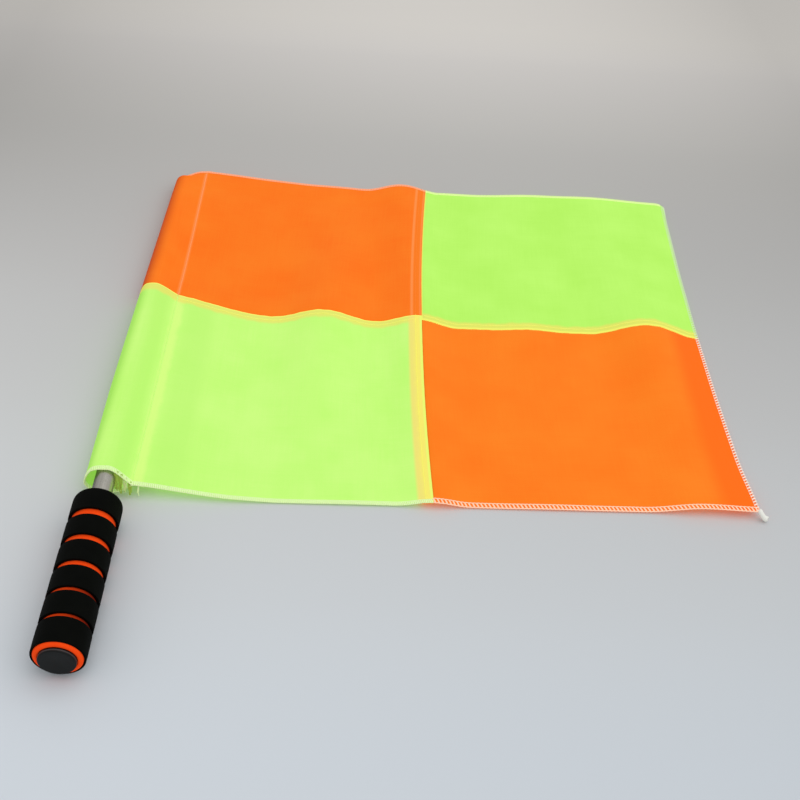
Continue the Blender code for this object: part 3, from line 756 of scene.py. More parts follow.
def cloth_point(a, t, mid, drop=0.0):
    """The cloth's middle surface in the row frame at share a to the fly and t to the far edge."""
    a, t = np.broadcast_arrays(np.asarray(a, float), np.asarray(t, float))
    x, along_near = cloth_x(a, t), cloth_x(a, 0.0)
    near = MOUTH_Y + NEAR_SLOPE * np.maximum(along_near, 0.0)
    fuller = smooth(along_near / 0.06) * (1 - smooth((along_near - CURL_FROM) / 0.03))
    near = near + NEAR_FULLER * fuller
    far = MOUTH_Y + HOIST_HEIGHT + FAR_SLOPE * np.maximum(cloth_x(a, 1.0), 0.0)
    slid = np.maximum(three((DRIFT_NEAR, DRIFT_MID, 0.0), t), 0.0)
    y = mix(near, far, t) + slid * (1 - smooth(np.maximum(x, 0.0) / DRIFT_REACH))
    into = np.clip(1 - (1 - a) * WIDTH / FLY_CORNER, 0.0, 1.0)
    y = y - FLY_CORNER * 0.8 * (1 - np.sqrt(1 - into**2)) * smooth((t - CORNER_ROWS) / CORNER_RUN)
    to_centre = np.abs(a - CENTRE_SHARE) * WIDTH
    to_mid = np.abs(t - mid) * HOIST_HEIGHT
    both_mids = np.minimum(np.abs(t - MID_HOIST), np.abs(t - MID_FLY)) * HOIST_HEIGHT
    seam = np.minimum(to_centre, to_mid)
    sides = np.minimum(np.minimum((1 - a) * WIDTH, t * HOIST_HEIGHT), (1 - t) * HOIST_HEIGHT)
    edge = np.minimum(seam, sides)
    stitched = np.minimum(np.minimum(to_centre, both_mids), np.abs(a) * WIDTH)
    z = height(x, y, t, edge, stitched) - drop
    return np.stack((x, y, z), -1) + on_table


def sleeve_point(s, t):
    """The sleeve at place s of 9 round it: a Catmull-Rom curve through ten points from the hem,
    under and over the pole, to the stitches. Past the tip the points close on each other."""
    s, t = np.broadcast_arrays(np.asarray(s, float), np.asarray(t, float))
    seam = cloth_point(0.0, t, MID_HOIST) - on_table
    hem = cloth_point(HEM_WIDTH / WIDTH, t, MID_HOIST, SEAM_DROP) - on_table
    y = seam[..., 1]
    sx, sz = seam[..., 0], seam[..., 2]
    closing = smooth((t - PAST_TIP) / (END_ROW - PAST_TIP))
    axis = butt[2] - np.minimum(y, TIP) * FALL
    fold = mix(SLEEVE_FOLD, SLEEVE_FOLD_TIP, np.clip((t - 0.2) / 0.75, 0, 1) ** 1.15)
    edge = LIFT * (1 - smooth((t * HOIST_HEIGHT - LIFT_WIDTH) / LIFT_REACH))
    floor = SLEEVE_REST + CLOTH_SOLID / 2 + edge - HALF_THICKER / 2
    left = mix(-fold, SLEEVE_END_LEFT, closing)
    dent = SLEEVE_DENT * bump(t - DENT_AT, DENT_HALF)

    def shut(share):
        """Height of the closed end that far from its left corner to the stitches."""
        return mix(SLEEVE_END_LOW, sz - SEAM_DROP / 2, smooth(share))

    def closed(x, z, share, side):
        """A point of the open sleeve, drawn to the lower or upper side of the closed end."""
        shut_z = shut(share) + side * SEAM_DROP / 2
        return mix(x, mix(left, sx, share), closing), mix(z, shut_z, closing)

    xz = (
        (hem[..., 0], hem[..., 2]),
        (sx, sz - SEAM_DROP),
        closed(sx * 0.55, mix(floor, sz - SEAM_DROP, 0.3), 0.7, -1),
        closed(0.0, floor, 0.4, -1),
        closed(left * 0.62, floor + SLEEVE_SAG, 0.15, -1),
        (left, mix(axis * 0.62, SLEEVE_END_LOW, closing)),
        closed(left * 0.64, axis + SLEEVE_RADIUS * 0.7, 0.15, 1),
        closed(0.0, axis + SLEEVE_RADIUS, 0.4, 1),
        closed(SLEEVE_RADIUS * 0.78, axis + SLEEVE_RADIUS * 0.74 - dent, 0.7, 1),
        (sx, sz),
    )
    ys = []
    at_end = smooth((t - CORNER_ROWS) / CORNER_RUN)
    for i, (px, pz) in enumerate(xz):
        corner = SLEEVE_END_CORNER * np.clip((END_CORNER_X - px) / END_CORNER_RUN, 0, 1) ** 1.6
        ys.append(np.where(i == 0, hem[..., 1], y - corner * at_end))
    points = [np.stack((px, py, pz), -1) for (px, pz), py in zip(xz, ys)]
    points = [2 * points[0] - points[1], *points, 2 * points[-1] - points[-2]]
    points = np.stack(points, -2)
    first = np.clip(np.floor(s).astype(int), 0, 8)
    u = (s - first)[..., None]
    a, b, c, d = (
        np.take_along_axis(points, (first + k)[..., None, None], -2)[..., 0, :] for k in range(4)
    )
    curve = 0.5 * (2 * b + (c - a) * u + (2 * a - 5 * b + 4 * c - d) * u * u)
    return curve + 0.5 * (3 * b - a - 3 * c + d) * u**3 + on_table


def hoist_point(q, t):
    """A hoist panel: q from 0 to 1 runs round the sleeve, and on to 2 at the centre seam."""
    q, t = np.broadcast_arrays(np.asarray(q, float), np.asarray(t, float))
    flat = cloth_point(np.maximum(q - 1, 0.0) * CENTRE_SHARE, t, MID_HOIST)
    return np.where((q < 1)[..., None], sleeve_point(np.clip(q, 0, 1) * 9, t), flat)


def fly_point(q, t):
    """A fly panel: q from 0 at the centre seam to 1 at the fly's edge."""
    return cloth_point(CENTRE_SHARE + np.asarray(q) * (1 - CENTRE_SHARE), t, MID_FLY)


def surface_normals(grid):
    """Unit normals of a grid of points: the cross product of its two directions."""
    across, along = np.gradient(grid, axis=1), np.gradient(grid, axis=0)
    return unit(np.cross(across, along))


def rolled(grid, uv, axis, end, size):
    """The grid with one edge turned under: past the edge the cloth goes round a half circle of
    radius size, whose centre lies under the edge, and a little way back below it."""
    normal = surface_normals(grid)
    inner = end - 1 if end else 1
    edge, edge_uv = np.take(grid, end, axis), np.take(uv, end, axis)
    up = np.take(normal, end, axis)
    out = unit(edge - np.take(grid, inner, axis))
    out_uv = unit(edge_uv - np.take(uv, inner, axis))
    size = np.broadcast_to(size, edge.shape[:-1])[..., None]
    rows, uv_rows = [], []
    for turn in np.linspace(0, np.pi, 6)[1:]:
        rows.append(edge + out * size * np.sin(turn) - up * size * (1 - np.cos(turn)))
        uv_rows.append(edge_uv + out_uv * size * turn)
    for back in (0.5, 1.0):
        rows.append(edge - out * FOLD_UNDER * back - up * size * 2)
        uv_rows.append(edge_uv + out_uv * (size * np.pi + FOLD_UNDER * back))
    extra, extra_uv = np.stack(rows, axis), np.stack(uv_rows, axis)
    if end:
        return np.concatenate((grid, extra), axis), np.concatenate((uv, extra_uv), axis)
    extra, extra_uv = np.flip(extra, axis), np.flip(extra_uv, axis)
    return np.concatenate((extra, grid), axis), np.concatenate((extra_uv, uv), axis)


def strip_group():
    """1 where Place lies between From and To, and eased to 0 over Soft on each side of both."""
    group, inside, outside = new_group(
        "strip along a seam",
        (
            ("Place", "NodeSocketFloat", 0.0),
            ("From", "NodeSocketFloat", 0.0),
            ("To", "NodeSocketFloat", 0.001),
            ("Soft", "NodeSocketFloat", 0.0003),
        ),
        (("Mask", "NodeSocketFloat"),),
    )
    ramps = []
    for label in ("From", "To"):
        low = worked_out(group, "SUBTRACT", inside.outputs[label], inside.outputs["Soft"])
        high = worked_out(group, "ADD", inside.outputs[label], inside.outputs["Soft"])
        ramps.append(carried(group, inside.outputs["Place"], low, high, ease="SMOOTHSTEP"))
    feed(group, outside, Mask=worked_out(group, "SUBTRACT", *ramps))
    return group


def weave_group():
    """A plain weave in metres of cloth: threads pass over and under each other as the product
    of two sines, and thick and thin threads run both ways."""
    group, inside, outside = new_group(
        "plain weave",
        (("Cloth", "NodeSocketVector", None), ("Threads per metre", "NodeSocketFloat", 1500.0)),
        (("Height", "NodeSocketFloat"), ("Slub", "NodeSocketFloat")),
    )
    cloth, per_metre = inside.outputs["Cloth"], inside.outputs["Threads per metre"]
    split = parts(group, cloth)
    waves = []
    for label in ("X", "Y"):
        turns = worked_out(group, "MULTIPLY", split[label], per_metre)
        waves.append(worked_out(group, "SINE", worked_out(group, "MULTIPLY", turns, math.pi)))
    threads = []
    for stretch in ((900.0, 25.0, 1.0), (25.0, 900.0, 1.0)):
        long = linked(group, "ShaderNodeMapping", Vector=cloth, Scale=stretch)
        threads.append(noise(group, long.outputs["Vector"], 1.0, 2.0))
    slub = worked_out(group, "MULTIPLY", worked_out(group, "ADD", *threads), 0.5)
    crossing = worked_out(group, "MULTIPLY", *waves)
    height = worked_out(group, "MULTIPLY_ADD", crossing, 0.35, slub)
    feed(group, outside, Height=height, Slub=slub)
    return group


strip_mask = strip_group()
plain_weave = weave_group()
# The cloth's painted glow, which stands in for light passing the thin cloth, and the share of its
# colour it still reflects.
CLOTH_PAINTED_GLOW = 0.45
CLOTH_TAKES = 0.56
RAGGED = 0.0024
SIDE_SLANT = 0.03
FACING_DOWN = (-0.3, -0.6)
PAST_HEM = (0.009, 0.012)


def cloth_material(name, colour, shade, strips, through):
    """Dyed polyester: its weave, a slow change of tone, and strips (across U or V, from, to,
    softness, colour, strength) where seams, hems and layers beneath change its colour, and where
    painted shade, shadow and highlight lie on it. A strip across u or v has ragged sides, like the
    cut edge of a layer beneath, and one across S keeps to the sleeve's left side, for painted
    shade there. The cloth has a painted glow, which stands in for light passing the thin cloth,
    and the side of the skirt that faces down glows through times as much, for the light that
    passes the thin cloth and tints the table."""
    material, tree, shader = new_material(
        name, Roughness=0.7, Specular_IOR_Level=0.12, Emission_Strength=CLOTH_PAINTED_GLOW
    )
    cloth = linked(tree, "ShaderNodeUVMap", uv_map="cloth").outputs["UV"]
    moved = linked(tree, "ShaderNodeVectorMath", operation="ADD", Vector=cloth)
    wander = carried(tree, noise(tree, cloth, 110.0), 0.0, 1.0, -RAGGED, RAGGED)
    tree.links.new(wander, moved.inputs[1])
    straight = parts(tree, cloth)
    wandering = parts(tree, moved.outputs["Vector"])
    across = {
        "S": worked_out(tree, "MULTIPLY_ADD", straight["Y"], -SIDE_SLANT, straight["X"]),
        "U": straight["X"],
        "V": straight["Y"],
        "u": wandering["X"],
        "v": wandering["Y"],
    }
    weave = linked(tree, "ShaderNodeGroup", node_tree=plain_weave, Cloth=cloth).outputs
    tone = worked_out(tree, "MULTIPLY_ADD", weave["Slub"], 0.6, noise(tree, cloth, 22.0))
    result = blended(tree, carried(tree, tone, 0.6, 1.0), shade, colour)
    for way, low, high, soft, tint, strength in strips:
        strip = linked(tree, "ShaderNodeGroup", node_tree=strip_mask, Place=across[way])
        for label, value in (("From", low), ("To", high), ("Soft", soft)):
            strip.inputs[label].default_value = value
        amount = worked_out(tree, "MULTIPLY", strip.outputs["Mask"], strength)
        result = blended(tree, amount, result, tint)
    # The reflected colour is taken down for the painted glow that is added on top.
    taken = blended(tree, 1.0, result, (CLOTH_TAKES, CLOTH_TAKES, CLOTH_TAKES, 1), "MULTIPLY")
    normal = linked(tree, "ShaderNodeNewGeometry").outputs["Normal"]
    below = carried(tree, parts(tree, normal)["Z"], *FACING_DOWN)
    skirt = carried(tree, straight["X"], *(HEM_U + past for past in PAST_HEM))
    below = worked_out(tree, "MULTIPLY", below, skirt)
    painted_glow = scaled(tree, result, worked_out(tree, "MULTIPLY_ADD", below, through - 1.0, 1.0))
    woven = relief(tree, weave["Height"], 0.35, 0.00006)
    feed(tree, shader, Base_Color=taken, Emission_Color=painted_glow, Normal=woven)
    return material


def panel(name, grid, uv, keep, material):
    """A cloth panel from a grid of points of its middle surface, with its thickness put on by
    Solidify. Faces that keep says are cut away go, and their loose points with them."""
    rows, columns = grid.shape[:2]
    faces = grid_faces(rows, columns)[np.asarray(keep).reshape(-1)]
    used, flat = np.unique(faces, return_inverse=True)
    faces = flat.reshape(-1, 4)
    piece = mesh_piece(name, grid.reshape(-1, 3)[used], faces, material)
    layer = piece.data.uv_layers.new(name="cloth")
    corner_uv = uv.reshape(-1, 2)[used][faces.reshape(-1)]
    layer.data.foreach_set("uv", corner_uv.astype(np.float32).reshape(-1))
    thick = piece.modifiers.new("thickness", "SOLIDIFY")
    thick.thickness = CLOTH
    thick.offset = 0.0
    return piece


ORANGE = (1.0, 0.228, 0.011, 1)
ORANGE_SHADE = (1.0, 0.196, 0.007, 1)
ORANGE_FAR = (1.0, 0.212, 0.010, 1)
# Painted shade of a fold along the near fly's edge.
ORANGE_PAINTED_FOLD_SHADE = (1.0, 0.160, 0.004, 1)
ORANGE_FAR_SHADE = (1.0, 0.174, 0.005, 1)
# Painted shade for the sleeve's left side, which faces away from the light.
ORANGE_PAINTED_SIDE_SHADE = (0.56, 0.062, 0.002, 1)
LIME = (0.610, 1.0, 0.222, 1)
LIME_SHADE = (0.545, 0.985, 0.180, 1)
LIME_FAR = (0.520, 0.970, 0.155, 1)
LIME_FAR_SHADE = (0.470, 0.920, 0.125, 1)
LIME_PAINTED_SIDE_SHADE = (0.300, 0.760, 0.060, 1)
# A painted highlight along the lime's folded edge at the mid seam.
FOLD_PAINTED_HIGHLIGHT = (1.0, 1.0, 0.165, 1)
THROUGH = (0.90, 0.745, 0.140, 1)
PEACH_THROUGH = (0.93, 0.765, 0.185, 1)
YELLOW_THROUGH = (0.965, 0.86, 0.145, 1)
EDGE_LIME = (0.84, 0.975, 0.165, 1)
EDGE_YELLOW = (0.92, 0.93, 0.16, 1)
PALE_ORANGE = (1.0, 0.30, 0.075, 1)
ORANGE_DEEP = (0.97, 0.205, 0.010, 1)
# Painted shadow: a thin dark line on the orange where the lime's folded edge lies over it.
ORANGE_PAINTED_SEAM_SHADOW = (0.50, 0.12, 0.006, 1)
HEM_LIGHT = (0.72, 1.0, 0.245, 1)
# Painted shade in bands on both sides of the hem.
LIME_PAINTED_SHADE = (0.500, 0.930, 0.165, 1)
HEM_U = -CENTRE_SHARE * WIDTH
SIDE_FROM = HEM_U - 0.06
SIDE_TO = HEM_U - 0.0275
HEM_Q = 1 / 9

sleeve_stations = np.linspace(0, 1, 55)[:-1]
hoist_stations = 1 + np.linspace(0, 1, 96)
hoist_q = np.concatenate((sleeve_stations, hoist_stations))
lap = ALLOWANCE / (WIDTH * (1 - CENTRE_SHARE))
fly_stations = np.concatenate((np.linspace(-lap, 0, 5)[:-1], np.linspace(0, 0.004, 6)[:-1]))
CUT_BACK = 0.0008
fly_cut = 1 - CUT_BACK / (WIDTH * (1 - CENTRE_SHARE))
fly_q = np.concatenate((fly_stations, np.linspace(0.004, fly_cut, 108)))


def eased_rows(low, high, at_low, at_high, count=92):
    """Rows between two heights of the hoist, with close rows where the cloth dips at a seam."""
    close = SEAM_EASE / HOIST_HEIGHT
    rows = np.linspace(low + close * at_low, high - close * at_high, count)
    before = np.linspace(low, low + close, 6)[:-1] if at_low else []
    after = np.linspace(high - close, high, 6)[1:] if at_high else []
    return np.concatenate((before, rows, after))


def panel_uv(q, t, mid, at_sleeve):
    """Place on the cloth in metres from the centre seam and from the mid seam."""
    q, t = np.meshgrid(q, t)
    v = (t - mid) * HOIST_HEIGHT
    if not at_sleeve:
        return np.stack((q * (1 - CENTRE_SHARE) * WIDTH, v), -1)
    u = (np.maximum(q, 1.0) - 2) * CENTRE_SHARE * WIDTH
    loop = hoist_point(q, t)
    steps = np.linalg.norm(np.diff(loop, axis=1), axis=-1)
    length = np.concatenate((np.zeros_like(steps[:, :1]), np.cumsum(steps, 1)), 1)
    at_seam = length[:, len(sleeve_stations)][:, None]
    return np.stack((u - np.maximum(at_seam - length, 0.0), v), -1)


def whole(grid):
    """True for each face of the grid: none is cut away."""
    return np.ones((len(grid) - 1, grid.shape[1] - 1), bool)


def seam_dip(distance):
    """How far a layer dips to pass under a seam: all the way past it, easing out before it."""
    return SEAM_DROP * (1 - smooth(distance / SEAM_EASE))


# Far panel at the hoist: orange, turned under the lime panel along the mid seam.
turned_under = MID_HOIST + np.linspace(-ALLOWANCE / HOIST_HEIGHT, 0, 5)[:-1]
rows = np.concatenate((turned_under, eased_rows(MID_HOIST, 1.0, 1, 0)))
grid = hoist_point(hoist_q[None, :], rows[:, None])
uv = panel_uv(hoist_q, rows, MID_HOIST, True)
past_hem = smooth((hoist_q - HEM_Q) * 30)
dip = seam_dip((rows - MID_HOIST) * HOIST_HEIGHT)[:, None] * past_hem
grid = grid - surface_normals(grid) * dip[..., None]
grid, uv = rolled(grid, uv, 1, -1, SEAM_ROLL)
keep = whole(grid)
near_centre = (2 - hoist_q) * CENTRE_SHARE * WIDTH < ALLOWANCE * 1.3
keep[:4, len(hoist_q) - near_centre.sum() - 1 :] = False
keep[:4, : int((hoist_q <= HEM_Q * 1.2).sum())] = False
strips = (
    ("U", -0.0062, -0.0014, 0.0006, ORANGE_DEEP, 0.8),
    ("U", -0.0084, -0.0064, 0.0007, PALE_ORANGE, 0.8),
    ("U", -0.0016, -0.0002, 0.0005, PALE_ORANGE, 0.6),
    ("U", HEM_U - 0.0012, HEM_U + 0.0012, 0.0010, PALE_ORANGE, 0.8),
    # Painted shade on the sleeve's left side.
    ("S", SIDE_FROM, SIDE_TO + 0.0020, 0.0062, ORANGE_PAINTED_SIDE_SHADE, 0.92),
    # Painted shadow of the lime's folded edge along the mid seam.
    ("V", -0.001, 0.0008, 0.0006, ORANGE_PAINTED_SEAM_SHADOW, 0.4),
)
material = cloth_material("orange cloth at the hoist", ORANGE_FAR, ORANGE_FAR_SHADE, strips, 2.2)
far_hoist = panel("far_panel_at_hoist", grid, uv, keep, material)

# Near panel at the hoist: lime, its two seam edges folded over the other panels.
rows = eased_rows(0.0, MID_HOIST, 0, 0, 96)
grid = hoist_point(hoist_q[None, :], rows[:, None])
uv = panel_uv(hoist_q, rows, MID_HOIST, True)
fade = np.minimum(1.0, smooth((2 - hoist_q) * CENTRE_SHARE * WIDTH / 0.002) + 0.02)
fade = fade * (past_hem * 0.98 + 0.02)
grid, uv = rolled(grid, uv, 0, -1, SEAM_ROLL * fade)
along = np.concatenate((np.ones(len(rows) - 1), np.zeros(len(grid) - len(rows) + 1)))
grid, uv = rolled(grid, uv, 1, -1, SEAM_ROLL * (along * 0.98 + 0.02))
keep = whole(grid)
keep[len(rows) - 1 :, len(hoist_q) - 1 :] = False
strips = (
    # Painted shade on the sleeve's left side.
    ("S", SIDE_FROM, SIDE_TO + 0.0026, 0.0042, LIME_PAINTED_SIDE_SHADE, 0.52),
    # Painted shade on both sides of the hem.
    ("U", HEM_U - 0.0185, HEM_U - 0.0050, 0.0045, LIME_PAINTED_SHADE, 0.75),
    ("U", HEM_U + 0.0090, HEM_U + 0.0300, 0.0060, LIME_PAINTED_SHADE, 0.50),
    ("u", HEM_U - 0.0010, HEM_U + 0.0060, 0.0022, HEM_LIGHT, 0.75),
    ("v", -0.0080, 0.001, 0.0020, THROUGH, 0.66),
    ("U", -0.0096, -0.0008, 0.0014, PEACH_THROUGH, 0.9),
    ("u", -0.0054, -0.0010, 0.0024, YELLOW_THROUGH, 0.85),
    ("U", -0.0014, 0.01, 0.0004, EDGE_LIME, 0.85),
    # Painted highlight on the folded edge.
    ("V", -0.0008, 0.01, 0.0003, FOLD_PAINTED_HIGHLIGHT, 0.9),
)
material = cloth_material("lime cloth at the hoist", LIME, LIME_SHADE, strips, 2.0)
near_hoist = panel("near_panel_at_hoist", grid, uv, keep, material)

# Far panel at the fly: lime, turned under the hoist panels, over the orange one.
rows = eased_rows(MID_FLY, 1.0, 0, 0, 96)
grid = fly_point(fly_q[None, :], rows[:, None])
uv = panel_uv(fly_q, rows, MID_FLY, False)
past_seam = fly_q * (1 - CENTRE_SHARE) * WIDTH
grid = grid - surface_normals(grid) * seam_dip(past_seam)[None, :, None]
grid, uv = rolled(grid, uv, 0, 0, SEAM_ROLL * np.minimum(1.0, smooth(past_seam / 0.003) + 0.02))
keep = whole(grid)
strips = (
    ("v", -0.001, 0.0074, 0.0019, THROUGH, 0.66),
    ("U", -0.01, 0.0011, 0.0005, EDGE_YELLOW, 0.75),
    # Painted highlight on the folded edge.
    ("V", -0.01, 0.0013, 0.0007, FOLD_PAINTED_HIGHLIGHT, 0.7),
)
material = cloth_material("lime cloth at the fly", LIME_FAR, LIME_FAR_SHADE, strips, 3.0)
far_fly = panel("far_panel_at_fly", grid, uv, keep, material)

# Near panel at the fly: orange, turned under the hoist panels and under the lime one.
turned_under = MID_FLY + np.linspace(0, ALLOWANCE / HOIST_HEIGHT, 5)[1:]
rows = np.concatenate((eased_rows(0.0, MID_FLY, 0, 1), turned_under))
grid = fly_point(fly_q[None, :], rows[:, None])
uv = panel_uv(fly_q, rows, MID_FLY, False)
at_mid = seam_dip((MID_FLY - rows) * HOIST_HEIGHT)
dip = np.maximum(seam_dip(past_seam)[None, :], at_mid[:, None])
grid = grid - surface_normals(grid) * dip[..., None]
keep = whole(grid)
keep[-4:, : int((past_seam < 0.003).sum())] = False
strips = (
    # Painted fold shade along the fly's edge.
    ("U", 0.1905, 0.2300, 0.0075, ORANGE_PAINTED_FOLD_SHADE, 1.0),
    # Painted shadow of the folded edges along the centre and mid seams.
    ("U", 0.0002, 0.0009, 0.0004, ORANGE_PAINTED_SEAM_SHADOW, 0.5),
    ("V", -0.0010, 0.001, 0.0005, ORANGE_PAINTED_SEAM_SHADOW, 0.5),
)
material = cloth_material("orange cloth at the fly", ORANGE, ORANGE_SHADE, strips, 2.2)
near_fly = panel("near_panel_at_fly", grid, uv, keep, material)

# ---------------------------------------------------------------------------------------------
# The cut edges: an overlock of soft polyester thread, pale orange on the orange cloth and light
# green on the lime. Each stitch goes slanting over the edge and back beneath it, and a needle
# thread holds it along its inner side.
THREAD_HIGH = 0.00016
# The threads' painted glow, like the cloth's.
THREAD_PAINTED_GLOW = 0.22
TONE_FADE = 0.004
STITCH_LEAN = 0.45
BORDER_HIGH = 0.00014


def thread(path, wide_way, wide, high, sides=6):
    """A flattened thread along a path: an ellipse whose wide axis follows wide_way, less its
    part along the path, and whose other axis is square to both. Gives points and faces."""
    way = unit(np.gradient(path, axis=0))
    side = unit(wide_way - way * np.sum(wide_way * way, 1, keepdims=True))
    over = np.cross(way, side)
    angle = np.linspace(0, 2 * np.pi, sides, endpoint=False)
    ring = np.cos(angle)[None, :, None] * side[:, None] * wide
    ring = ring + np.sin(angle)[None, :, None] * over[:, None] * high
    faces = grid_faces(len(path), sides, False, True).tolist()
    start = [tuple(range(sides - 1, -1, -1))]
    end = [tuple(range((len(path) - 1) * sides, len(path) * sides))]
    return (path[:, None] + ring).reshape(-1, 3), faces + start + end


def joined(name, threads, material):
    """One mesh piece from several sets of points and faces."""
    points, faces, count = [], [], 0
    for part_points, part_faces in threads:
        faces += [tuple(count + k for k in face) for face in part_faces]
        points.append(part_points)
        count += len(part_points)
    return mesh_piece(name, np.vstack(points), faces, material)


def even_places(at, pitch):
    """Shares of an edge that lie a whole number of pitches apart along it, and that number."""
    share = np.linspace(0, 1, 1500)
    steps = np.linalg.norm(np.diff(at(share, np.zeros_like(share)), axis=0), axis=1)
    length = np.concatenate(((0.0,), np.cumsum(steps)))
    count = max(int(round(length[-1] / pitch)), 1)
    return (lambda k: np.interp(k / count * length[-1], length, share)), count


def laid(at, share, depth):
    """Points of a surface at(share of the edge, depth from it), its normals and the edge's own
    direction there. A depth below zero stands out past the edge."""
    inside = np.maximum(depth, 0.0)
    step = 0.0004
    low, high = np.clip(share - 0.001, 0, 1), np.clip(share + 0.001, 0, 1)
    along = unit(at(high, inside) - at(low, inside))
    inward = unit(at(share, inside + step) - at(share, inside))
    normal = unit(np.cross(along, inward))
    point = at(share, inside) + inward * np.minimum(depth, 0.0)[:, None]
    return point, normal, along


def keep_along(piece, shares):
    """Keeps with each point how far along its row it is, for the thread's tone."""
    layer = piece.data.attributes.new("along_row", "FLOAT", "POINT")
    layer.data.foreach_set("value", shares.astype(np.float32))


def overlock(name, at, width, pitch, wide, border, material, loose=()):
    """The stitches of an overlocked edge. In each, the thread starts at the needle line, slants
    over the cloth, turns round the edge and comes back beneath to the next needle hole. A
    border thread runs along the needle line and another along the edge; loose ends may be added.
    The attribute says how far along the edge a point is, or what tone a loose end has."""
    place, count = even_places(at, pitch)
    depth = np.array((1.0, 0.8, 0.5, 0.2, 0.0, -0.06, 0.0, 0.35, 0.75, 1.0)) * width
    level = np.array((0.2, 1.0, 1.15, 1.1, 1.0, 0.0, -1.0, -1.0, -1.0, -0.4))
    ahead = np.array((0.0, 0.2, 0.5, 0.8, 1.0, 1.15, 1.3, 1.5, 1.8, 2.05)) * STITCH_LEAN
    stitch = np.arange(count)[:, None]
    share = place(np.clip(stitch + ahead[None, :], 0, count).reshape(-1))
    depths = np.broadcast_to(depth, (count, 10)).reshape(-1)
    levels = np.broadcast_to(level, (count, 10)).reshape(-1) * (CLOTH / 2 + THREAD_HIGH)
    point, normal, along = laid(at, share, depths)
    threads = [thread(point + normal * levels[:, None], along, wide, THREAD_HIGH)]
    line = np.arange(count * 4 + 1) / 4
    wave = np.cos(2 * np.pi * line)
    share = place(line)
    rise = CLOTH / 2 + THREAD_HIGH * (1.1 - 0.7 * wave)
    point, normal, along = laid(at, share, np.full(len(line), width))
    across = np.cross(normal, along)
    threads.append(thread(point + normal * rise[:, None], across, border, BORDER_HIGH, 5))
    out = -border * 0.3 + 0.0001 * wave
    point, normal, along = laid(at, share, out)
    across = np.cross(normal, along)
    sway = (0.00012 * np.sin(2 * np.pi * line))[:, None]
    threads.append(thread(point + normal * sway, across, border, border * 0.8, 6))
    piece = joined(name, threads + [end for end, tone in loose], material)
    along_row = [np.repeat(place(np.clip(stitch + ahead, 0, count).reshape(-1)), 6)]
    along_row += [np.repeat(place(line), 5), np.repeat(place(line), 6)]
    along_row += [np.full(len(points), tone) for (points, _), tone in loose]
    keep_along(piece, np.concatenate(along_row))
    return piece


def new_thread(name):
    """The part that all threads share: gives material, tree, shader and the noise of fibres."""
    material, tree, shader = new_material(
        name, Roughness=0.7, Specular_IOR_Level=0.15, Emission_Strength=THREAD_PAINTED_GLOW
    )
    return material, tree, shader, noise(tree, object_place(tree), 2400.0)


def thread_material(name, light, dark):
    """Fuzzy polyester thread: fine twist and a fibrous change of tone. It has a painted glow like
    the cloth's.
    """
    material, tree, shader, fibre = new_thread(name)
    tone = blended(tree, fibre, dark, light)
    twist = relief(tree, fibre, 0.4, 0.00006)
    feed(tree, shader, Base_Color=tone, Emission_Color=tone, Normal=twist)
    return material


def two_tone_thread(name, near, far, change):
    """Thread that takes the tone of the cloth under it, which changes at a share of the row."""
    material, tree, shader, fibre = new_thread(name)
    row = linked(tree, "ShaderNodeAttribute", attribute_name="along_row").outputs["Fac"]
    past = carried(tree, row, change - TONE_FADE, change + TONE_FADE)
    tone = blended(tree, past, near, far)
    tone = scaled(tree, tone, carried(tree, fibre, 0.0, 1.0, 0.72, 1.0))
    feed(tree, shader, Base_Color=tone, Emission_Color=tone)
    return material


pale_peach = thread_material("pale peach thread", (1.0, 0.68, 0.50, 1), (1.0, 0.44, 0.26, 1))
peach_thread = thread_material("peach thread", (0.95, 0.46, 0.28, 1), (0.92, 0.34, 0.16, 1))
green_thread = two_tone_thread("green thread", (0.80, 0.98, 0.50, 1), (0.34, 0.52, 0.07, 1), 1.5)
pale_green = thread_material("pale green thread", (0.78, 0.93, 0.40, 1), (0.62, 0.86, 0.25, 1))
fly_thread = two_tone_thread("fly thread", (1.0, 0.78, 0.66, 1), (0.70, 0.86, 0.54, 1), MID_FLY)
fly_run = (1 - CENTRE_SHARE) * WIDTH
low_t = 1.0 / HOIST_HEIGHT


# Each function gives the points at a share of its edge's length and at a depth inside it. The
# first goes round the sleeve's mouth and on along the near edge of the lime panel.
def mouth_edge(share, depth):
    return hoist_point(mix(0.1, 2.0, share), depth * low_t)


def far_hoist_edge(share, depth):
    return hoist_point(mix(2.0, 0.55, share), 1.0 - depth * low_t)


def near_fly_edge(share, depth):
    return fly_point(share, depth * low_t)


def far_fly_edge(share, depth):
    return fly_point(mix(0.985, 0.0, share), 1.0 - depth * low_t)


def fly_edge(share, depth):
    return fly_point(1.0 - depth / fly_run, share)


edges = (
    ("edge_thread_near_hoist", "overlock_near_hoist", mouth_edge, green_thread),
    ("edge_thread_far_hoist", "overlock_far_hoist", far_hoist_edge, peach_thread),
    ("edge_thread_near_fly", "overlock_near_fly", near_fly_edge, pale_peach),
    ("edge_thread_far_fly", "overlock_far_fly", far_fly_edge, pale_green),
    ("edge_thread_fly", "overlock_fly_edge", fly_edge, fly_thread),
)
# The edges' sizes: the width and the pitch of the stitches, and the half widths of the thread
# and of the border thread.
EDGE_SIZES = (
    (0.0026, 0.0012, 0.0005, 0.00025),
    (0.0024, 0.0014, 0.00055, 0.0003),
    (0.0034, 0.0026, 0.0006, 0.00045),
    (0.0030, 0.0013, 0.0006, 0.0003),
    (0.0025, 0.0027, 0.00058, 0.00012),
)

# Where the mouth's two layers meet beside the tube, bunches of cut yarn and thread ends hang
# out: two dull ones close to the tube, and paler ones by the hem's stitches.
FRAY_RADIUS = 0.00026
FRAY_POINTS = 9
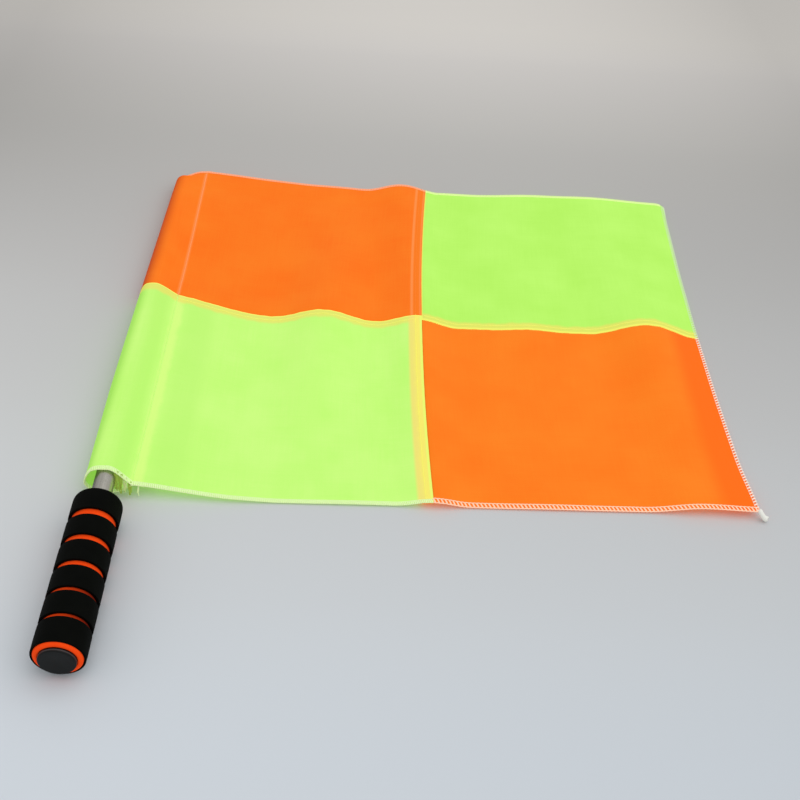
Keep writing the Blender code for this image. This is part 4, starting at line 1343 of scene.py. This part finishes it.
# Each bunch's place round the mouth, number of ends, spread, length and tone.
FRAY_BUNCHES = (
    (0.898, 16, 0.0026, 0.0120, 2.0),
    (0.925, 14, 0.0024, 0.0125, 2.0),
    (0.955, 10, 0.0022, 0.0095, 1.4995),
    (0.985, 9, 0.0016, 0.0090, 2.0),
    (1.018, 3, 0.0020, 0.0085, 0.6),
)
fray_rng = np.random.default_rng(11)
run = np.linspace(0, 1, FRAY_POINTS)
frays = []
for at_mouth, count, spread, reach, tone in FRAY_BUNCHES:
    for number in range(count):
        length = reach * fray_rng.uniform(0.7, 1.05)
        aside = spread * fray_rng.uniform(-0.5, 0.5)
        path = np.repeat(hoist_point(at_mouth, 0.003)[None, :], FRAY_POINTS, 0)
        path[:, 0] += aside * (1 - 0.35 * run) + 0.0004 * np.sin(4 * run + number) + 0.0006 * run
        path[:, 1] -= length * run * 0.45
        path[:, 2] -= length * run * 0.9 + 0.0004 * np.sin(3 * run + number) * run
        path[:, 2] = np.maximum(path[:, 2], 0.0004)
        wide_way = np.tile((1.0, 0.0, 0.0), (FRAY_POINTS, 1))
        end = thread(path, wide_way, FRAY_RADIUS, FRAY_RADIUS, 5)
        frays.append((end, tone))
sewn = {}
for (name, node, at, material), sizes in zip(edges, EDGE_SIZES):
    sewn[node] = overlock(name, at, *sizes, material, frays if at is mouth_edge else ())
    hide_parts(node)

# ---------------------------------------------------------------------------------------------
# The seams' stitches: a lockstitch of polyester thread, 2.5 mm a stitch. One row closes the
# sleeve, one its far end, one runs beside the centre seam and one beside each mid seam.
STITCH_PITCH = 0.0025
SEAM_ROW = 0.0045


def stitch_row(name, at, radius, material):
    """A row of stitches: each lies on the cloth and dips into a needle hole at both ends, its
    height a raised cosine with a flat top. The attribute says how far along the row it is."""
    place, count = even_places(at, STITCH_PITCH)
    line = np.arange(count * 8 + 1) / 8
    wave = np.clip(1.6 - 2.4 * np.cos(np.pi * line) ** 16, -1, 1)
    rise = CLOTH / 2 + radius * (0.1 + 0.8 * wave)
    point, normal, along = laid(at, place(line), np.zeros(len(line)))
    across = np.cross(normal, along)
    path = point + normal * rise[:, None]
    piece = joined(name, [thread(path, across, radius, radius, 6)], material)
    keep_along(piece, np.repeat(place(line), 6))
    return piece


# Each function gives the points at a share of its row's length and at a depth beside it.
def sleeve_row(share, depth):
    return hoist_point(1.0 + (0.0006 - depth) / HOIST_HEIGHT, mix(0.008, 0.985, share))


def sleeve_end_row(share, depth):
    return hoist_point(mix(0.62, 1.0, share), END_ROW + depth * low_t)


def centre_row(share, depth):
    run = CENTRE_SHARE * WIDTH
    return hoist_point(2.0 - (SEAM_ROW + depth) / run, share)


def mid_hoist_row(share, depth):
    return hoist_point(mix(1.01, 1.97, share), MID_HOIST - (SEAM_ROW - depth) * low_t)


def mid_fly_row(share, depth):
    return fly_point(mix(0.01, 0.99, share), MID_FLY + (SEAM_ROW + depth) * low_t)


ON_LIME = (0.66, 1.0, 0.26, 1)
ON_ORANGE = (1.0, 0.36, 0.13, 1)
DEEP_LIME = (1.0, 0.99, 0.17, 1)
DEEP_ORANGE = (1.0, 0.26, 0.03, 1)
YELLOW = (1.0, 1.0, 0.22, 1)
seam_thread = two_tone_thread("seam thread", ON_LIME, ON_ORANGE, MID_HOIST)
hidden_thread = two_tone_thread("deep thread", DEEP_LIME, DEEP_ORANGE, MID_HOIST)
yellow_thread = two_tone_thread("yellow thread", YELLOW, YELLOW, 0.5)
for name, at, radius, material, node in (
    ("stitches_of_sleeve", sleeve_row, 0.00035, seam_thread, "stitch_sleeve"),
    ("stitches_of_sleeve_end", sleeve_end_row, 0.00022, hidden_thread, "stitch_sleeve_end"),
    ("stitches_of_centre_seam", centre_row, 0.00014, hidden_thread, "stitch_centre_seam"),
    ("stitches_of_mid_seam_hoist", mid_hoist_row, 0.00018, yellow_thread, "stitch_mid_hoist"),
    ("stitches_of_mid_seam_fly", mid_fly_row, 0.00018, yellow_thread, "stitch_mid_fly"),
):
    sewn[node] = stitch_row(name, at, radius, material)
    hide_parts(node)

# ---------------------------------------------------------------------------------------------
# The tail: where the overlock ran off the near corner of the fly, its threads go on as a short
# twisted chain that lies on the table.
TAIL_LENGTH = 0.0060
TAIL_TURN = math.radians(-37)
TAIL_STRAND = 0.00088
TAIL_APART = 0.00085
TAIL_TWISTS = 3.2
TAIL_BOW = 0.0016
TAIL_END_HEIGHT = 0.0024
TAIL_POINTS = 60
tail_thread = thread_material("tail thread", (0.78, 0.78, 0.72, 1), (0.62, 0.62, 0.57, 1))
share = np.linspace(0, 1, TAIL_POINTS)
start = fly_point(1.0, 0.0) + np.array((-0.0004, 0.0002, 0.0003))
way = np.array((math.cos(TAIL_TURN), math.sin(TAIL_TURN), 0.0))
side = np.array((-way[1], way[0], 0.0))
bow = (TAIL_BOW * share * (1 - share) * 2)[:, None]
spine = start + share[:, None] * TAIL_LENGTH * way - side * bow
spine[:, 2] -= (start[2] - TAIL_END_HEIGHT) * smooth(share)
strands = []
for third in range(3):
    turn = 2 * np.pi * (share * TAIL_TWISTS + third / 3)
    apart = TAIL_APART * (1 + 0.4 * share**3)
    path = spine + side * (apart * np.cos(turn))[:, None]
    path[:, 2] += apart * np.sin(turn)
    strands.append(thread(path, np.tile(side, (TAIL_POINTS, 1)), TAIL_STRAND, TAIL_STRAND, 8))
tail = joined("thread_chain", strands, tail_thread)
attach(tail, "fly_half")
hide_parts("thread_tail")

# ---------------------------------------------------------------------------------------------
# How the cloth moves and what each panel was cut to. Pieces that reach the centre seam stay
# in the row frame; the others go with their half.
HOIST_CUT = 0.262
FLY_CUT = 0.221
sewn["thread_tail"] = tail
on_far_hoist = ("overlock_far_hoist", "stitch_sleeve", "stitch_sleeve_end")
on_near_hoist = ("overlock_near_hoist", "stitch_mid_hoist", "stitch_centre_seam")
on_far_fly = ("overlock_far_fly", "stitch_mid_fly")
on_near_fly = ("overlock_near_fly", "overlock_fly_edge", "thread_tail")
sheets = (
    (far_hoist, "panel_far_hoist", "orange_cloth", (HOIST_CUT, 0.193), on_far_hoist),
    (near_hoist, "panel_near_hoist", "lime_cloth", (HOIST_CUT, 0.189), on_near_hoist),
    (far_fly, "panel_far_fly", "lime_cloth", (FLY_CUT, 0.190), on_far_fly),
    (near_fly, "panel_near_fly", "orange_cloth", (FLY_CUT, 0.194), on_near_fly),
)
crossing = (
    "overlock_near_hoist",
    "overlock_far_hoist",
    "overlock_near_fly",
    "overlock_far_fly",
    "stitch_centre_seam",
    "stitch_mid_hoist",
    "stitch_mid_fly",
)
for piece in [sheet[0] for sheet in sheets] + [sewn[node] for node in crossing]:
    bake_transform(piece)
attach(sewn["overlock_fly_edge"], "fly_half")
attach(sewn["stitch_sleeve"], "hoist_half")
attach(sewn["stitch_sleeve_end"], "hoist_half")
for piece, node, slot, flat, on_it in sheets:
    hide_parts(node)
